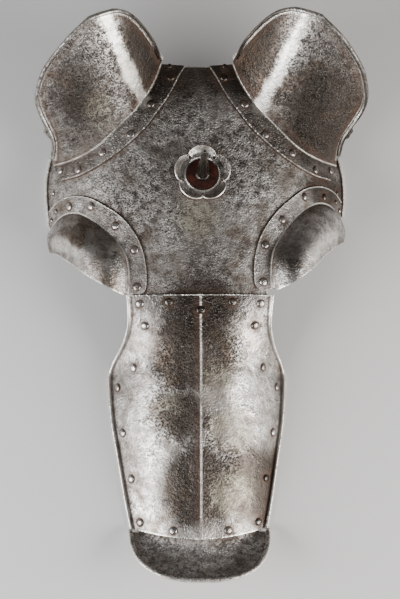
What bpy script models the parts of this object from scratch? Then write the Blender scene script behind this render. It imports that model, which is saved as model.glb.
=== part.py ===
"""Horse head armour: a chanfron of riveted steel plates, lying on its back.

The face of the armour looks up. The poll end points along +Y and the nose end along -Y, and the
names left and right mean -X and +X. The flat side edges of the brow plate and of the nasal plate
lie on the floor at z = 0. While it is built, y = 0 is the joint between those two plates. Lengths
are in metres, and each table holds shares of the sizes that its heading names.
"""

import math

import bmesh
import bpy
from mathutils import Matrix, Vector

# Steel sheet
PLATE = 0.0015  # thickness of every plate
PLATE_GAP = 0.0008  # air between two plates that lie on each other
SEAT_GAP = 0.0003  # air under a rivet head, a rosette or a spike
CROWN_HEIGHT = 0.086  # highest point of the face above the floor

# Brow plate
BROW_LENGTH = 0.259  # from the joint to the poll edge
BROW_HALF_WIDTH = 0.168  # from the middle line to where a wing turns flat
WING_LIP = 0.004  # width of the flat edge of a wing
BROW_OVERLAP = 0.016  # what the nasal plate covers of the brow plate
WING_TIP_BELOW = 0.084  # lower tip of a wing, measured from the joint
WING_TIP_ABOVE = 0.167  # upper tip of a wing, measured from the joint
LEFT_TUCK = 0.003  # the left wing reaches this much less far out than the right one
OUTER_BROW = 0.6  # share of the half-width past which the left side is tucked in
BROW_ROUND = 3.0  # power with which the brow falls off to the sides

# Nasal plate
NASAL_LENGTH = 0.266  # from the joint to the nose end, along the keel
NASAL_HALF_WIDTH = 0.094  # from the keel to the root of the side lip, at the cheeks
NASAL_LIP = 0.006  # width of the side lips
NASAL_END_ARC = 0.014  # how far the nose end bows out past its corners
KEEL_HEIGHT = 0.0035
KEEL_HALF_WIDTH = 0.020
KEEL_START = 0.100  # share of the length above which there is no keel
KEEL_FADE = 0.10  # share of the length over which it grows to its height
KEEL_CREASE = 1.6  # power of its section; 1 would be a flat-sided ridge
NASAL_ROUND = 2.2  # power with which the nasal plate falls off to the sides

# Nose plate
NOSE_HALF_WIDTH = 0.0777
NOSE_SIDE_GAP = 0.0015  # from the nasal plate's corners to the side ends of the rim
NOSE_REACH = 0.0607  # how far the middle of the rim lies past its side ends
NOSE_RISE = 0.0450  # how much higher the middle of the rim stands than its side ends
NOSE_FOOT = 0.0045  # height of the side ends of the rim
NOSE_SQUARE = 0.80  # power that gives the rim its full corners; 1 would be an ellipse
NOSE_OVERLAP = 0.015  # what the nasal plate covers of the nose plate
NOSE_TONGUE_WIDTH = 0.96  # of the hidden part, as a share of the nasal plate's half-width
NOSE_TURN_OUT = 0.5  # how far the side ends of the flare lean outwards where they meet the rim
NOSE_TURN_DOWN = 0.6  # how far the middle of the flare leans towards the nose there
NOSE_TURN_UP = 0.8

# Rolled rims of the nose plate and of the ear guards
ROLL_RADIUS = 0.0014  # radius of the hollow in the roll
ROLL_TURN = 270.0  # degrees

# Ear guards: the longest reach of a guard's wall past its crease
EAR_OUT = 0.0608
EAR_BACK = 0.0937
EAR_RISE = 0.110
EAR_BULGE = 0.007
LEFT_EAR_OUT_SHARE = 0.96  # the left guard was beaten a little smaller than the right one
LEFT_EAR_BACK_SHARE = 0.915
EAR_TWIST = 0.003  # the outer end of the left rim stands this much further back, the right one less

# Eye guards
EYE_OUT = 0.023
EYE_DOWN = 0.0548
EYE_RISE = 0.0143
EYE_BULGE = 0.015
EYE_STEP = 0.0055  # the right guard sits this much higher than drawn, and the left one lower
EYE_STEP_INNER = 0.5  # share of that step at the inner end of a guard
EYE_STEP_FROM = 0.45  # share of BROW_HALF_WIDTH from which the step grows to the whole
EYE_STEP_OVER = 0.3  # and the share over which it does

# Brow rosette and spike
ROSETTE_RADIUS = 0.031
ROSETTE_SHEET = 0.0012
ROSETTE_RIGHT = 0.003  # from the middle line
ROSETTE_UP = 0.1333  # from the joint
ROSETTE_CUP = 0.006  # height of the petals' edges
RING_RADIUS = 0.0190
RING_WIDTH = 0.0015  # from the top of the ring to its foot, on each side
RING_HEIGHT = 0.0016
DISC_THICKNESS = 0.001
SPIKE_RADIUS = 0.0074
SPIKE_LENGTH = 0.066
SPIKE_LEAN = 7.3  # degrees towards the poll
SPIKE_ASIDE = 2.2  # degrees to the left
SPIKE_TIP_RADIUS = 0.0024
SPIKE_COLLAR = 0.004
COLLAR_RADIUS = 0.0089
STEM_RADIUS = 0.003

# Rivets
RIVET_HEAD = 0.0043  # radius of a head
RIVET_SHANK = 0.0019  # radius of a shank
KEEL_HEAD = 0.0049
SMALL_HEAD = 0.0026
SMALL_SHANK = 0.0012
RIVET_CLEARANCE = 0.0003  # air around a shank
RIVET_TAIL = 0.0008  # what a shank shows inside the armour

DRILL_LAYERS = 4  # a drill reaches this many layers up and down from the seat of its rivet

LAYER = PLATE + PLATE_GAP
FLOOR_SKIN = PLATE  # height of the upper face of a plate that lies on the floor
STEP = 0.0005  # distance over which a slope is measured
RIVET_SIDES = 7
HOLE_SIDES = 6
SMOOTH_ANGLE = 35  # degrees up to which an edge is shaded smooth

# Section of a rivet head, from the top to the rim: shares of its radius, out and up
RIVET_DOME = ((0.0, 0.46), (0.62, 0.34), (1.0, 0.0))

# Middle line of the face: place along the plate, share of CROWN_HEIGHT.
# The place is a share of BROW_LENGTH above the joint, and minus a share of NASAL_LENGTH below it.
CROWN_LINE = (
    (-1.20, 0.215),
    (-1.00, 0.330),
    (-0.70, 0.503),
    (-0.37, 0.678),
    (0.00, 0.878),
    (0.23, 0.962),
    (0.40, 1.000),
    (0.58, 0.988),
    (0.76, 0.940),
    (1.00, 0.840),
)

# Half-width of the brow plate: place along it, share of BROW_HALF_WIDTH
BROW_SIDE = (
    (0.00, 0.985),
    (0.36, 0.980),
    (0.47, 0.994),
    (0.56, 0.990),
    (0.66, 0.962),
    (1.16, 0.950),
)

# Half-width of the nasal plate up to the lip: place along it, share of NASAL_HALF_WIDTH
NASAL_SIDE = (
    (0.00, 0.812),
    (0.07, 0.796),
    (0.12, 0.797),
    (0.17, 0.830),
    (0.21, 0.880),
    (0.255, 0.953),
    (0.30, 0.995),
    (0.35, 1.000),
    (0.50, 0.970),
    (0.66, 0.898),
    (0.82, 0.826),
    (1.00, 0.730),
)
NASAL_FLAT_FROM = 0.30  # below this share of the length, the lips lie on the floor

# Sections of an ear guard, from the poll to the wing: crease across and along, border of the
# flange across and along, then the rim from the crease: out, back and up. The first four are
# shares of BROW_HALF_WIDTH and BROW_LENGTH, the others of EAR_OUT, EAR_BACK and EAR_RISE.
EAR_SECTIONS = (
    (0.242, 1.008, 0.077, 1.000, -0.02, 0.045, 0.110),
    (0.259, 0.973, 0.122, 0.952, 0.18, 0.325, 0.340),
    (0.295, 0.919, 0.167, 0.894, 0.45, 0.646, 0.670),
    (0.342, 0.867, 0.214, 0.844, 0.63, 0.817, 0.885),
    (0.410, 0.807, 0.277, 0.788, 0.71, 0.939, 0.965),
    (0.479, 0.763, 0.339, 0.734, 0.78, 1.000, 1.000),
    (0.554, 0.718, 0.417, 0.683, 0.94, 0.927, 0.930),
    (0.639, 0.671, 0.512, 0.632, 1.00, 0.861, 0.810),
    (0.720, 0.639, 0.613, 0.589, 0.97, 0.770, 0.680),
    (0.798, 0.621, 0.708, 0.558, 0.81, 0.566, 0.510),
    (0.875, 0.612, 0.804, 0.539, 0.27, 0.280, 0.280),
    (0.952, 0.610, 0.905, 0.535, -0.02, 0.080, 0.090),
)

# Sections of an eye guard, from the wing to the joint, with the same columns. The last three
# are shares of EYE_OUT, EYE_DOWN and EYE_RISE, and the edge lies below the crease.
EYE_SECTIONS = (
    (0.977, 0.348, 0.985, 0.434, 0.04, -0.513, 0.93),
    (0.921, 0.390, 0.938, 0.463, 0.28, -0.760, 0.52),
    (0.865, 0.403, 0.875, 0.476, 0.51, -0.879, 0.27),
    (0.796, 0.395, 0.798, 0.472, 0.70, -0.965, 0.09),
    (0.728, 0.368, 0.708, 0.449, 0.81, -0.989, 0.24),
    (0.660, 0.331, 0.616, 0.405, 0.91, -1.000, 0.59),
    (0.589, 0.283, 0.526, 0.355, 1.00, -0.935, 0.78),
    (0.533, 0.234, 0.457, 0.300, 0.89, -0.859, 1.00),
    (0.489, 0.181, 0.401, 0.237, 0.73, -0.723, 0.79),
    (0.471, 0.127, 0.367, 0.166, 0.48, -0.528, 0.41),
    (0.467, 0.071, 0.354, 0.085, 0.30, -0.284, 0.16),
    (0.473, 0.017, 0.363, 0.012, 0.20, -0.020, 0.06),
)
CUT_BACK = 0.24  # share of a flange's width from the crease to the edge of the cut-out below it

# Rivets of each flange on one side: across and along the brow plate, head
EAR_RIVETS = (
    (0.183, 0.999, SMALL_HEAD),
    (0.177, 0.948, RIVET_HEAD),
    (0.312, 0.828, RIVET_HEAD),
    (0.448, 0.696, RIVET_HEAD),
    (0.633, 0.626, RIVET_HEAD),
    (0.795, 0.566, RIVET_HEAD),
    (0.909, 0.580, RIVET_HEAD),
)
EYE_RIVETS = (
    (0.968, 0.393, SMALL_HEAD),
    (0.940, 0.426, SMALL_HEAD),
    (0.856, 0.434, RIVET_HEAD),
    (0.712, 0.418, RIVET_HEAD),
    (0.554, 0.314, RIVET_HEAD),
    (0.432, 0.203, RIVET_HEAD),
    (0.417, 0.045, RIVET_HEAD),
)
WING_RIVETS = ((0.966, 0.490, SMALL_HEAD),)

# Rivets of the nasal plate on one side: across and along it, head
JOINT_RIVETS = (
    (0.713, 0.035, RIVET_HEAD),
    (0.374, 0.030, RIVET_HEAD),
)
KEEL_RIVETS = ((0.0, 0.064, KEEL_HEAD),)
LINING_RIVETS = (
    (0.648, 0.121, RIVET_HEAD),
    (0.768, 0.280, RIVET_HEAD),
    (0.948, 0.353, RIVET_HEAD),
    (0.894, 0.544, RIVET_HEAD),
    (0.798, 0.737, RIVET_HEAD),
)
NOSE_RIVETS = (
    (0.700, 0.920, RIVET_HEAD),
    (0.322, 0.962, RIVET_HEAD),
)

STEEL = (0.30, 0.29, 0.28)
BRIGHT_STEEL = (0.45, 0.44, 0.42)
RED_LEATHER = (0.16, 0.05, 0.035)


def smooth_step(t):
    """0 below 0, 1 above 1, and a soft step between them."""
    t = min(max(t, 0.0), 1.0)
    return t * t * (3 - 2 * t)


def slope_at(rows, i, column):
    """Slope of one column at row i, from the rows next to it."""
    low = rows[max(i - 1, 0)]
    high = rows[min(i + 1, len(rows) - 1)]
    return (high[column] - low[column]) / (high[0] - low[0])


def read_table(rows, at):
    """The other columns of a table where the first one is at, on a smooth curve through the rows."""
    at = min(max(at, rows[0][0]), rows[-1][0])
    i = 0
    while at > rows[i + 1][0]:
        i += 1
    width = rows[i + 1][0] - rows[i][0]
    t = (at - rows[i][0]) / width
    values = []
    for column in range(1, len(rows[0])):
        start = rows[i][column]
        end = rows[i + 1][column]
        leave = slope_at(rows, i, column) * width
        arrive = slope_at(rows, i + 1, column) * width
        fall = 1 - smooth_step(t)
        bend = t * (1 - t) * (leave * (1 - t) - arrive * t)
        values.append(start * fall + end * (1 - fall) + bend)
    return values


def number_rows(rows):
    """A table of sections with the number of each section as its first column."""
    return [(float(i), *row) for i, row in enumerate(rows)]


def place_along(y):
    """Share of the brow plate's length above the joint, and of the nasal plate's below it."""
    return y / BROW_LENGTH if y > 0 else y / NASAL_LENGTH


def brow_half_width(y):
    return BROW_HALF_WIDTH * read_table(BROW_SIDE, place_along(y))[0]


def nasal_half_width(y):
    return NASAL_HALF_WIDTH * read_table(NASAL_SIDE, -place_along(y))[0]


def face_fall(x, y):
    """How much of its height the face has lost at x: 0 on the middle line, 1 at the side."""
    broad = (abs(x) / brow_half_width(max(y, 0.0))) ** BROW_ROUND
    narrow_from = max(-place_along(y), NASAL_FLAT_FROM)
    narrow = (abs(x) / nasal_half_width(-narrow_from * NASAL_LENGTH)) ** NASAL_ROUND
    share = smooth_step(-place_along(y) / NASAL_FLAT_FROM)
    return min(broad + (narrow - broad) * share, 1.0)


def face_height(x, y):
    crown = CROWN_HEIGHT * read_table(CROWN_LINE, place_along(y))[0]
    return FLOOR_SKIN + (crown - FLOOR_SKIN) * (1 - face_fall(x, y))


def face_normal(x, y):
    across = (face_height(x + STEP, y) - face_height(x - STEP, y)) / (2 * STEP)
    along = (face_height(x, y + STEP) - face_height(x, y - STEP)) / (2 * STEP)
    return Vector((-across, -along, 1.0)).normalized()


def on_face(x, y, lift=0.0):
    """The point of the face above x, y, lifted square to it."""
    return Vector((x, y, face_height(x, y))) + face_normal(x, y) * lift


def brow_lift(x, y):
    """The brow plate lies one layer under the face in the middle, and on it at the wings."""
    return -LAYER * (1 - face_fall(x, y) ** 2)


def flange_lift(x, y):
    return brow_lift(x, y) + LAYER


def keel_section(x):
    return KEEL_HEIGHT * max(1 - abs(x) / KEEL_HALF_WIDTH, 0.0) ** KEEL_CREASE


def keel_lift(x, y):
    """Height of the nasal keel, which starts softly below the rivet on the joint."""
    return keel_section(x) * smooth_step((-place_along(y) - KEEL_START) / KEEL_FADE)


def make_collections():
    """Remove what the scene holds, and make a collection for the parts and one for the cutters."""
    for old in list(bpy.data.objects):
        bpy.data.objects.remove(old, do_unlink=True)
    found = {}
    for name in ("horse_head_armour", "cutters"):
        found[name] = bpy.data.collections.new(name)
        bpy.context.scene.collection.children.link(found[name])
    return found["horse_head_armour"], found["cutters"]


PARTS, CUTTERS = make_collections()


def make_material(name, colour, roughness, metallic):
    material = bpy.data.materials.new(name)
    material.use_nodes = True
    shader = material.node_tree.nodes["Principled BSDF"]
    shader.inputs["Base Color"].default_value = (*colour, 1.0)
    shader.inputs["Roughness"].default_value = roughness
    shader.inputs["Metallic"].default_value = metallic
    return material


def add_part(name, shape, colour=STEEL, roughness=0.4, metallic=1.0):
    """An object of the armour, from a bmesh that is used up here."""
    mesh = bpy.data.meshes.new(name)
    shape.to_mesh(mesh)
    shape.free()
    mesh.materials.append(make_material(name, colour, roughness, metallic))
    part = bpy.data.objects.new(name, mesh)
    PARTS.objects.link(part)
    return part


def add_cutter(name, shape):
    mesh = bpy.data.meshes.new(name)
    shape.to_mesh(mesh)
    shape.free()
    cutter = bpy.data.objects.new(name, mesh)
    cutter.hide_render = True
    cutter.display_type = "WIRE"
    CUTTERS.objects.link(cutter)
    return cutter


def cut_with(part, cutter, operation="DIFFERENCE"):
    cut = part.modifiers.new(cutter.name, "BOOLEAN")
    cut.operation = operation
    cut.solver = "EXACT"
    cut.object = cutter


def grid_sheet(columns, rows, place, flip=False):
    """A grid whose points go where place(column, row) says."""
    sheet = bmesh.new()
    bmesh.ops.create_grid(sheet, x_segments=round(columns), y_segments=round(rows), size=1.0)
    for point in sheet.verts:
        column = (point.co.x + 1) / 2 * round(columns)
        row = (point.co.y + 1) / 2 * round(rows)
        point.co = place(round(column), round(row))
    if flip:
        bmesh.ops.reverse_faces(sheet, faces=sheet.faces)
    return sheet


def mirror_halves(part):
    mirror = part.modifiers.new("other half", "MIRROR")
    mirror.use_axis = (True, False, False)
    mirror.merge_threshold = 0.00005


def thicken(part, thickness=PLATE):
    """Give a sheet its thickness on the inner side, and shade it as smooth beaten metal."""
    solid = part.modifiers.new("thickness", "SOLIDIFY")
    solid.thickness = thickness
    solid.offset = -1.0
    solid.use_even_offset = True
    part.data.shade_smooth()
    part.data.set_sharp_from_angle(angle=math.radians(SMOOTH_ANGLE))


def point_of(rows, section):
    """Crease, border and rim offset of a guard at a section number, whole or not."""
    cells = read_table(rows, section)
    crease = Vector((cells[0] * BROW_HALF_WIDTH, cells[1] * BROW_LENGTH))
    border = Vector((cells[2] * BROW_HALF_WIDTH, cells[3] * BROW_LENGTH))
    return crease, border, Vector(cells[4:7])


def no_step(x):
    return 0.0


def to_side(side, point):
    """The same point on the right side of the armour or on the left one."""
    outer = smooth_step((point.x / BROW_HALF_WIDTH - OUTER_BROW) / (1 - OUTER_BROW))
    tuck = LEFT_TUCK * outer if side < 0 else 0.0
    return Vector((side * (point.x - tuck), point.y, point.z))


def eye_step(side):
    """How far up an eye guard is shifted, which grows from the nose outwards."""

    def step(x):
        grown = smooth_step((x / BROW_HALF_WIDTH - EYE_STEP_FROM) / EYE_STEP_OVER)
        return side * EYE_STEP * (EYE_STEP_INNER + (1 - EYE_STEP_INNER) * grown)

    return step


def guard_shape(rows, reach, bulge, bulge_skew, step, twist=0.0):
    """The outer face of a guard on the right side, as a function of section and place.

    The place is 0 at the border of the flange, 1 at the crease and 2 at the rim. The twist moves
    the outermost point of the rim along the armour, and the other points by their share of it.
    """

    def shape(section, place):
        crease, border, offset = point_of(rows, section)
        flat = border.lerp(crease, min(place, 1.0))
        foot = on_face(flat.x, flat.y, flange_lift(flat.x, flat.y))
        if place > 1:
            t = place - 1
            rise = Vector((offset.x * reach[0], offset.y * reach[1], offset.z * reach[2]))
            rise.y += offset.x * twist
            crown = math.sin(math.pi * t**bulge_skew) * (rise.length / Vector(reach).length) ** 2
            swell = face_normal(flat.x, flat.y) * bulge * crown
            foot += rise * t + swell
        return foot + Vector((0.0, step(flat.x), 0.0))

    return shape


ROLL_STEP = 0.05  # of a section, over which the direction of a rim is measured


def rolled(shape, section, turn, last_place=2.0, hand=1):
    """A point of the roll that starts at the rim of a shape, after turning by so many degrees.

    The hand is 1 where sections run to the right of somebody who looks out over the rim from
    above, and -1 where they run to the left.
    """
    rim = shape(section, last_place)
    before = shape(section, last_place - ROLL_STEP)
    beside = shape(section + ROLL_STEP, last_place) - shape(section - ROLL_STEP, last_place)
    ahead = (rim - before).normalized()
    outward = beside.cross(ahead).normalized() * hand
    angle = math.radians(turn)
    return rim + ROLL_RADIUS * (ahead * math.sin(angle) + outward * (1 - math.cos(angle)))


EAR_ROWS = number_rows(EAR_SECTIONS)
EYE_ROWS = number_rows(EYE_SECTIONS)
EAR_FLANGE_CUTS = 2
EAR_WALL_CUTS = 5
ROLL_CUTS = 4
EAR_STATIONS = (0, 0.5, 1, 1.5, 2, 3, 4, 5, 6, 6.5, 7, 7.5, 8, 8.5, 9, 9.5, 10, 10.5, 11)
EYE_FLANGE_CUTS = 2
EYE_WALL_CUTS = 5
EYE_STATIONS = 14


def side_name(side):
    return "right" if side > 0 else "left"


def guard_place(column, flange_cuts, wall_cuts):
    """Turn a column of a guard's grid into a place across it."""
    if column <= flange_cuts:
        return column / flange_cuts
    return 1 + (column - flange_cuts) / wall_cuts


def build_ear_guard(side):
    """A flaring cup for one ear: a flange riveted on the brow, a wall and a rolled rim."""
    if side > 0:
        reach = (EAR_OUT, EAR_BACK, EAR_RISE)
    else:
        reach = (EAR_OUT * LEFT_EAR_OUT_SHARE, EAR_BACK * LEFT_EAR_BACK_SHARE, EAR_RISE)
    shape = guard_shape(EAR_ROWS, reach, EAR_BULGE, 1.0, no_step, -side * EAR_TWIST)

    def place(column, row):
        section = EAR_STATIONS[row]
        rim_column = EAR_FLANGE_CUTS + EAR_WALL_CUTS
        if column <= rim_column:
            point = shape(section, guard_place(column, EAR_FLANGE_CUTS, EAR_WALL_CUTS))
        else:
            point = rolled(shape, section, ROLL_TURN * (column - rim_column) / ROLL_CUTS)
        return to_side(side, point)

    columns = EAR_FLANGE_CUTS + EAR_WALL_CUTS + ROLL_CUTS
    sheet = grid_sheet(columns, len(EAR_STATIONS) - 1, place, flip=side > 0)
    guard = add_part(f"ear_guard_{side_name(side)}", sheet)
    thicken(guard)
    return guard


def build_eye_guard(side):
    """A dome over one eye: a flange riveted on the brow, and a wall with a free lower edge."""
    reach = (EYE_OUT, EYE_DOWN, EYE_RISE)
    shape = guard_shape(EYE_ROWS, reach, EYE_BULGE, 0.75, eye_step(side))
    last = len(EYE_ROWS) - 1

    def place(column, row):
        point = shape(row / EYE_STATIONS * last, guard_place(column, EYE_FLANGE_CUTS, EYE_WALL_CUTS))
        return to_side(side, point)

    columns = EYE_FLANGE_CUTS + EYE_WALL_CUTS
    sheet = grid_sheet(columns, EYE_STATIONS, place, flip=side > 0)
    guard = add_part(f"eye_guard_{side_name(side)}", sheet)
    thicken(guard)
    return guard


BROW_COLUMNS = (0.0, 0.20, 0.38, 0.54, 0.68, 0.81, 0.91, 1.0)
BROW_ROWS = 14


def brow_point(column, row):
    """Columns beyond the last share are the flat edge of a wing."""
    middle = len(BROW_COLUMNS)
    side = 1 if column >= middle else -1
    number = abs(column - middle)
    y = BROW_LENGTH * (row - 1) / (BROW_ROWS - 1) if row > 0 else -BROW_OVERLAP
    half = brow_half_width(y)
    if number >= len(BROW_COLUMNS):
        return to_side(side, Vector((half + WING_LIP, y, FLOOR_SKIN)))
    x = BROW_COLUMNS[number] * half
    return to_side(side, on_face(x, y, brow_lift(x, y)))


def prism(outline):
    """A tall upright block over a flat outline that runs anticlockwise."""
    block = bmesh.new()
    foot = [block.verts.new((point.x, point.y, -CROWN_HEIGHT)) for point in outline]
    base = block.faces.new(foot)
    raised = bmesh.ops.extrude_face_region(block, geom=[base])["geom"]
    tops = [item for item in raised if isinstance(item, bmesh.types.BMVert)]
    bmesh.ops.translate(block, verts=tops, vec=(0.0, 0.0, 3 * CROWN_HEIGHT))
    bmesh.ops.recalc_face_normals(block, faces=block.faces)
    return block


def cut_edge(rows, sections, side, step):
    """The edge of the brow plate under a guard's flange, a little back from the crease."""
    edge = []
    for section in sections:
        crease, border, _ = point_of(rows, section)
        spot = crease.lerp(border, CUT_BACK)
        edge.append(to_side(side, Vector((spot.x, spot.y + step(spot.x), 0.0))))
    return edge


BEYOND = 1.5  # a cutter reaches this many half-widths or lengths out, past every plate
EAR_CUT_END = 10  # the cut-out follows the crease of the sections before this one
EAR_CUT_LAST = 9.6  # and the crease at this place between two sections
WING_TIP_IN = 0.90  # share of the half-width at which a wing tip begins


def ear_cutter(side):
    outside = BEYOND * BROW_HALF_WIDTH
    above = BEYOND * BROW_LENGTH
    edge = cut_edge(EAR_ROWS, (*range(EAR_CUT_END), EAR_CUT_LAST), side, no_step)
    first = Vector((edge[0].x, above))
    tip = Vector((side * WING_TIP_IN * BROW_HALF_WIDTH, WING_TIP_ABOVE))
    corners = [tip, Vector((side * outside, WING_TIP_ABOVE)), Vector((side * outside, above))]
    return add_cutter(f"ear_cut_{side_name(side)}", prism([first, *edge, *corners]))


def eye_cutter(side):
    outside = BEYOND * BROW_HALF_WIDTH
    below = -2 * BROW_OVERLAP
    step = eye_step(side)
    edge = cut_edge(EYE_ROWS, range(len(EYE_ROWS)), side, step)
    tip = Vector((side * outside, WING_TIP_BELOW + step(BROW_HALF_WIDTH)))
    corners = [Vector((edge[-1].x, below)), Vector((side * outside, below))]
    return add_cutter(f"eye_cut_{side_name(side)}", prism([tip, *edge, *corners]))


def build_brow_plate():
    """The broad plate over the forehead, cut away for the ears and the eyes."""
    columns = 2 * len(BROW_COLUMNS)
    plate = add_part("brow_plate", grid_sheet(columns, BROW_ROWS, brow_point))
    thicken(plate)
    for side in (-1, 1):
        cut_with(plate, ear_cutter(side))
        cut_with(plate, eye_cutter(side))
    return plate


NASAL_COLUMNS = (0.0, 0.08, 0.20, 0.40, 0.58, 0.74, 0.88, 1.0)
OVERLAP_ROW = 1 - BROW_OVERLAP / NASAL_LENGTH
NASAL_ROWS = (0.0, 0.07, 0.18, 0.31, 0.44, 0.56, 0.64, 0.69, 0.73, 0.77, 0.82, 0.90, OVERLAP_ROW, 1.0)


def nose_edge(share):
    """The nose end of the nasal plate, at a share of the half-width."""
    return -NASAL_LENGTH + NASAL_END_ARC * share**2


def nasal_point(column, row):
    share = NASAL_COLUMNS[min(column, len(NASAL_COLUMNS) - 1)]
    y = nose_edge(share) * (1 - NASAL_ROWS[row])
    x = share * nasal_half_width(y)
    point = on_face(x, y, keel_lift(x, y))
    if column >= len(NASAL_COLUMNS):
        slope = (nasal_half_width(y + STEP) - nasal_half_width(y - STEP)) / (2 * STEP)
        point += Vector((1.0, -slope, 0.0)).normalized() * NASAL_LIP
    return point


def build_nasal_plate():
    """The long keeled plate over the nose bone, with lips turned out along its sides."""
    sheet = grid_sheet(len(NASAL_COLUMNS), len(NASAL_ROWS) - 1, nasal_point)
    plate = add_part("nasal_plate", sheet)
    mirror_halves(plate)
    thicken(plate)
    return plate


NOSE_TONGUE_CUTS = 2
NOSE_FLARE_CUTS = 3


def tongue_point(share, y):
    """The part of the nose plate that is hidden under the nasal plate."""
    x = share * NOSE_TONGUE_WIDTH * nasal_half_width(y)
    return on_face(x, y, keel_lift(x, y) - LAYER)


def bezier(points, t):
    """A cubic curve from the first of four points to the last."""
    a, b, c, d = points
    s = 1 - t
    return a * s**3 + b * (3 * s * s * t) + c * (3 * s * t * t) + d * t**3


def nose_shape(share, place):
    """The nose plate: place runs from 0 to 1 along the tongue and from 1 to 2 over the flare."""
    under = nose_edge(share) - PLATE
    if place <= 1:
        return tongue_point(share, under + NOSE_OVERLAP * (1 - place))
    start = tongue_point(share, under)
    turn = math.radians(90 * share)
    sideways = math.sin(turn) ** NOSE_SQUARE
    forward = math.cos(turn) ** NOSE_SQUARE if share < 1 else 0.0
    rim = Vector(
        (
            NOSE_HALF_WIDTH * sideways,
            nose_edge(1.0) - NOSE_SIDE_GAP - NOSE_REACH * forward,
            NOSE_FOOT + NOSE_RISE * forward,
        )
    )
    reach = (rim - start).length / 3
    leave = (start - tongue_point(share, under + NOSE_OVERLAP / 2)).normalized()
    out = NOSE_TURN_OUT * math.sin(turn)
    down = NOSE_TURN_DOWN * math.cos(turn) + 0.1
    arrive = Vector((out, -down, NOSE_TURN_UP)).normalized()
    flare = bezier((start, start + leave * reach, rim - arrive * reach, rim), place - 1)
    return flare + Vector((0.0, 0.0, keel_section(flare.x) * smooth_step(2 * (place - 1))))


def nose_rim_shape(section, place):
    return nose_shape(min(max(section, 0.0), 1.0), place)


def nose_point(column, row):
    share = column / (len(NASAL_COLUMNS) - 1)
    if row <= NOSE_TONGUE_CUTS:
        return nose_shape(share, row / NOSE_TONGUE_CUTS)
    if row <= NOSE_TONGUE_CUTS + NOSE_FLARE_CUTS:
        return nose_shape(share, 1 + (row - NOSE_TONGUE_CUTS) / NOSE_FLARE_CUTS)
    part = (row - NOSE_TONGUE_CUTS - NOSE_FLARE_CUTS) / ROLL_CUTS
    point = rolled(nose_rim_shape, share, ROLL_TURN * part, hand=-1)
    if column == 0:
        point.x = 0.0
    return point


def build_nose_plate():
    """The flared plate over the nostrils, with a rolled rim."""
    rows = NOSE_TONGUE_CUTS + NOSE_FLARE_CUTS + ROLL_CUTS
    sheet = grid_sheet(len(NASAL_COLUMNS) - 1, rows, nose_point, flip=True)
    plate = add_part("nose_plate", sheet)
    mirror_halves(plate)
    thicken(plate)
    return plate


def seat_on(x, y, lift, radius):
    """Where a round piece sits: clear of the sheet all round its foot, its axis square to it.

    Its first direction points to the right and its second one to the poll.
    """
    axis = face_normal(x, y)
    middle = on_face(x, y, lift(x, y))
    rise = 0.0
    for eighth in range(8):
        turn = math.pi / 4 * eighth
        beside_x = x + radius * math.cos(turn)
        beside_y = y + radius * math.sin(turn)
        beside = on_face(beside_x, beside_y, lift(beside_x, beside_y))
        rise = max(rise, (beside - middle).dot(axis))
    along = axis.cross(Vector((1.0, 0.0, 0.0))).normalized()
    turned = Matrix((along.cross(axis), along, axis)).transposed().to_4x4()
    return Matrix.Translation(middle + axis * (rise + SEAT_GAP)) @ turned


def turned_profile(points):
    """An open profile of radius and height pairs, to be turned about the Z axis."""
    profile = bmesh.new()
    row = [profile.verts.new((radius, 0.0, height)) for radius, height in points]
    for first, second in zip(row, row[1:]):
        profile.edges.new((first, second))
    return profile


def turn_round(part, sides):
    screw = part.modifiers.new("turned", "SCREW")
    screw.steps = sides
    screw.render_steps = sides
    screw.use_merge_vertices = True
    screw.merge_threshold = 0.00005


def shank_radius(head):
    return RIVET_SHANK if head >= RIVET_HEAD else SMALL_SHANK


def build_rivet(name, seat, head, depth):
    """A domed head on a shank that goes down through the plates."""
    shank = shank_radius(head)
    dome = [(out * head, up * head) for out, up in RIVET_DOME]
    points = (*dome, (shank, 0.0), (shank, -depth), (0.0, -depth))
    rivet = add_part(name, turned_profile(points), BRIGHT_STEEL, 0.35)
    turn_round(rivet, RIVET_SIDES)
    rivet.matrix_world = seat
    return rivet


def drill(part, seats):
    """Cut a hole for each rivet that goes through a plate."""
    drills = bmesh.new()
    for seat, head in seats:
        radius = (shank_radius(head) + RIVET_CLEARANCE) / math.cos(math.pi / HOLE_SIDES)
        bmesh.ops.create_cone(
            drills, cap_ends=True, segments=HOLE_SIDES, radius1=radius, radius2=radius,
            depth=2 * DRILL_LAYERS * LAYER, matrix=seat,
        )
    cut_with(part, add_cutter(f"{part.name}_drills", drills))


def rivet_row(name, table, size, lift, plates, sides=(-1, 1), step=None):
    """Rivets on both sides of the armour, and the seats to drill for them."""
    seats = []
    for side in sides:
        for number, (across, along, head) in enumerate(table, start=1):
            x = across * size[0]
            y = along * size[1]
            seat = seat_on(x, y, lift, head)
            if step:
                seat.translation.y += step(side)(x)
            if side < 0:
                flip = Matrix.Diagonal((-1.0, 1.0, 1.0, 1.0))
                spot = to_side(side, seat.translation)
                seat = flip @ seat @ flip
                seat.translation = spot
            depth = SEAT_GAP + plates * LAYER + RIVET_TAIL
            ending = f"_{side_name(side)}_{number}" if len(sides) > 1 else ""
            build_rivet(f"{name}{ending}", seat, head, depth)
            seats.append((seat, head))
    return seats


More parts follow.
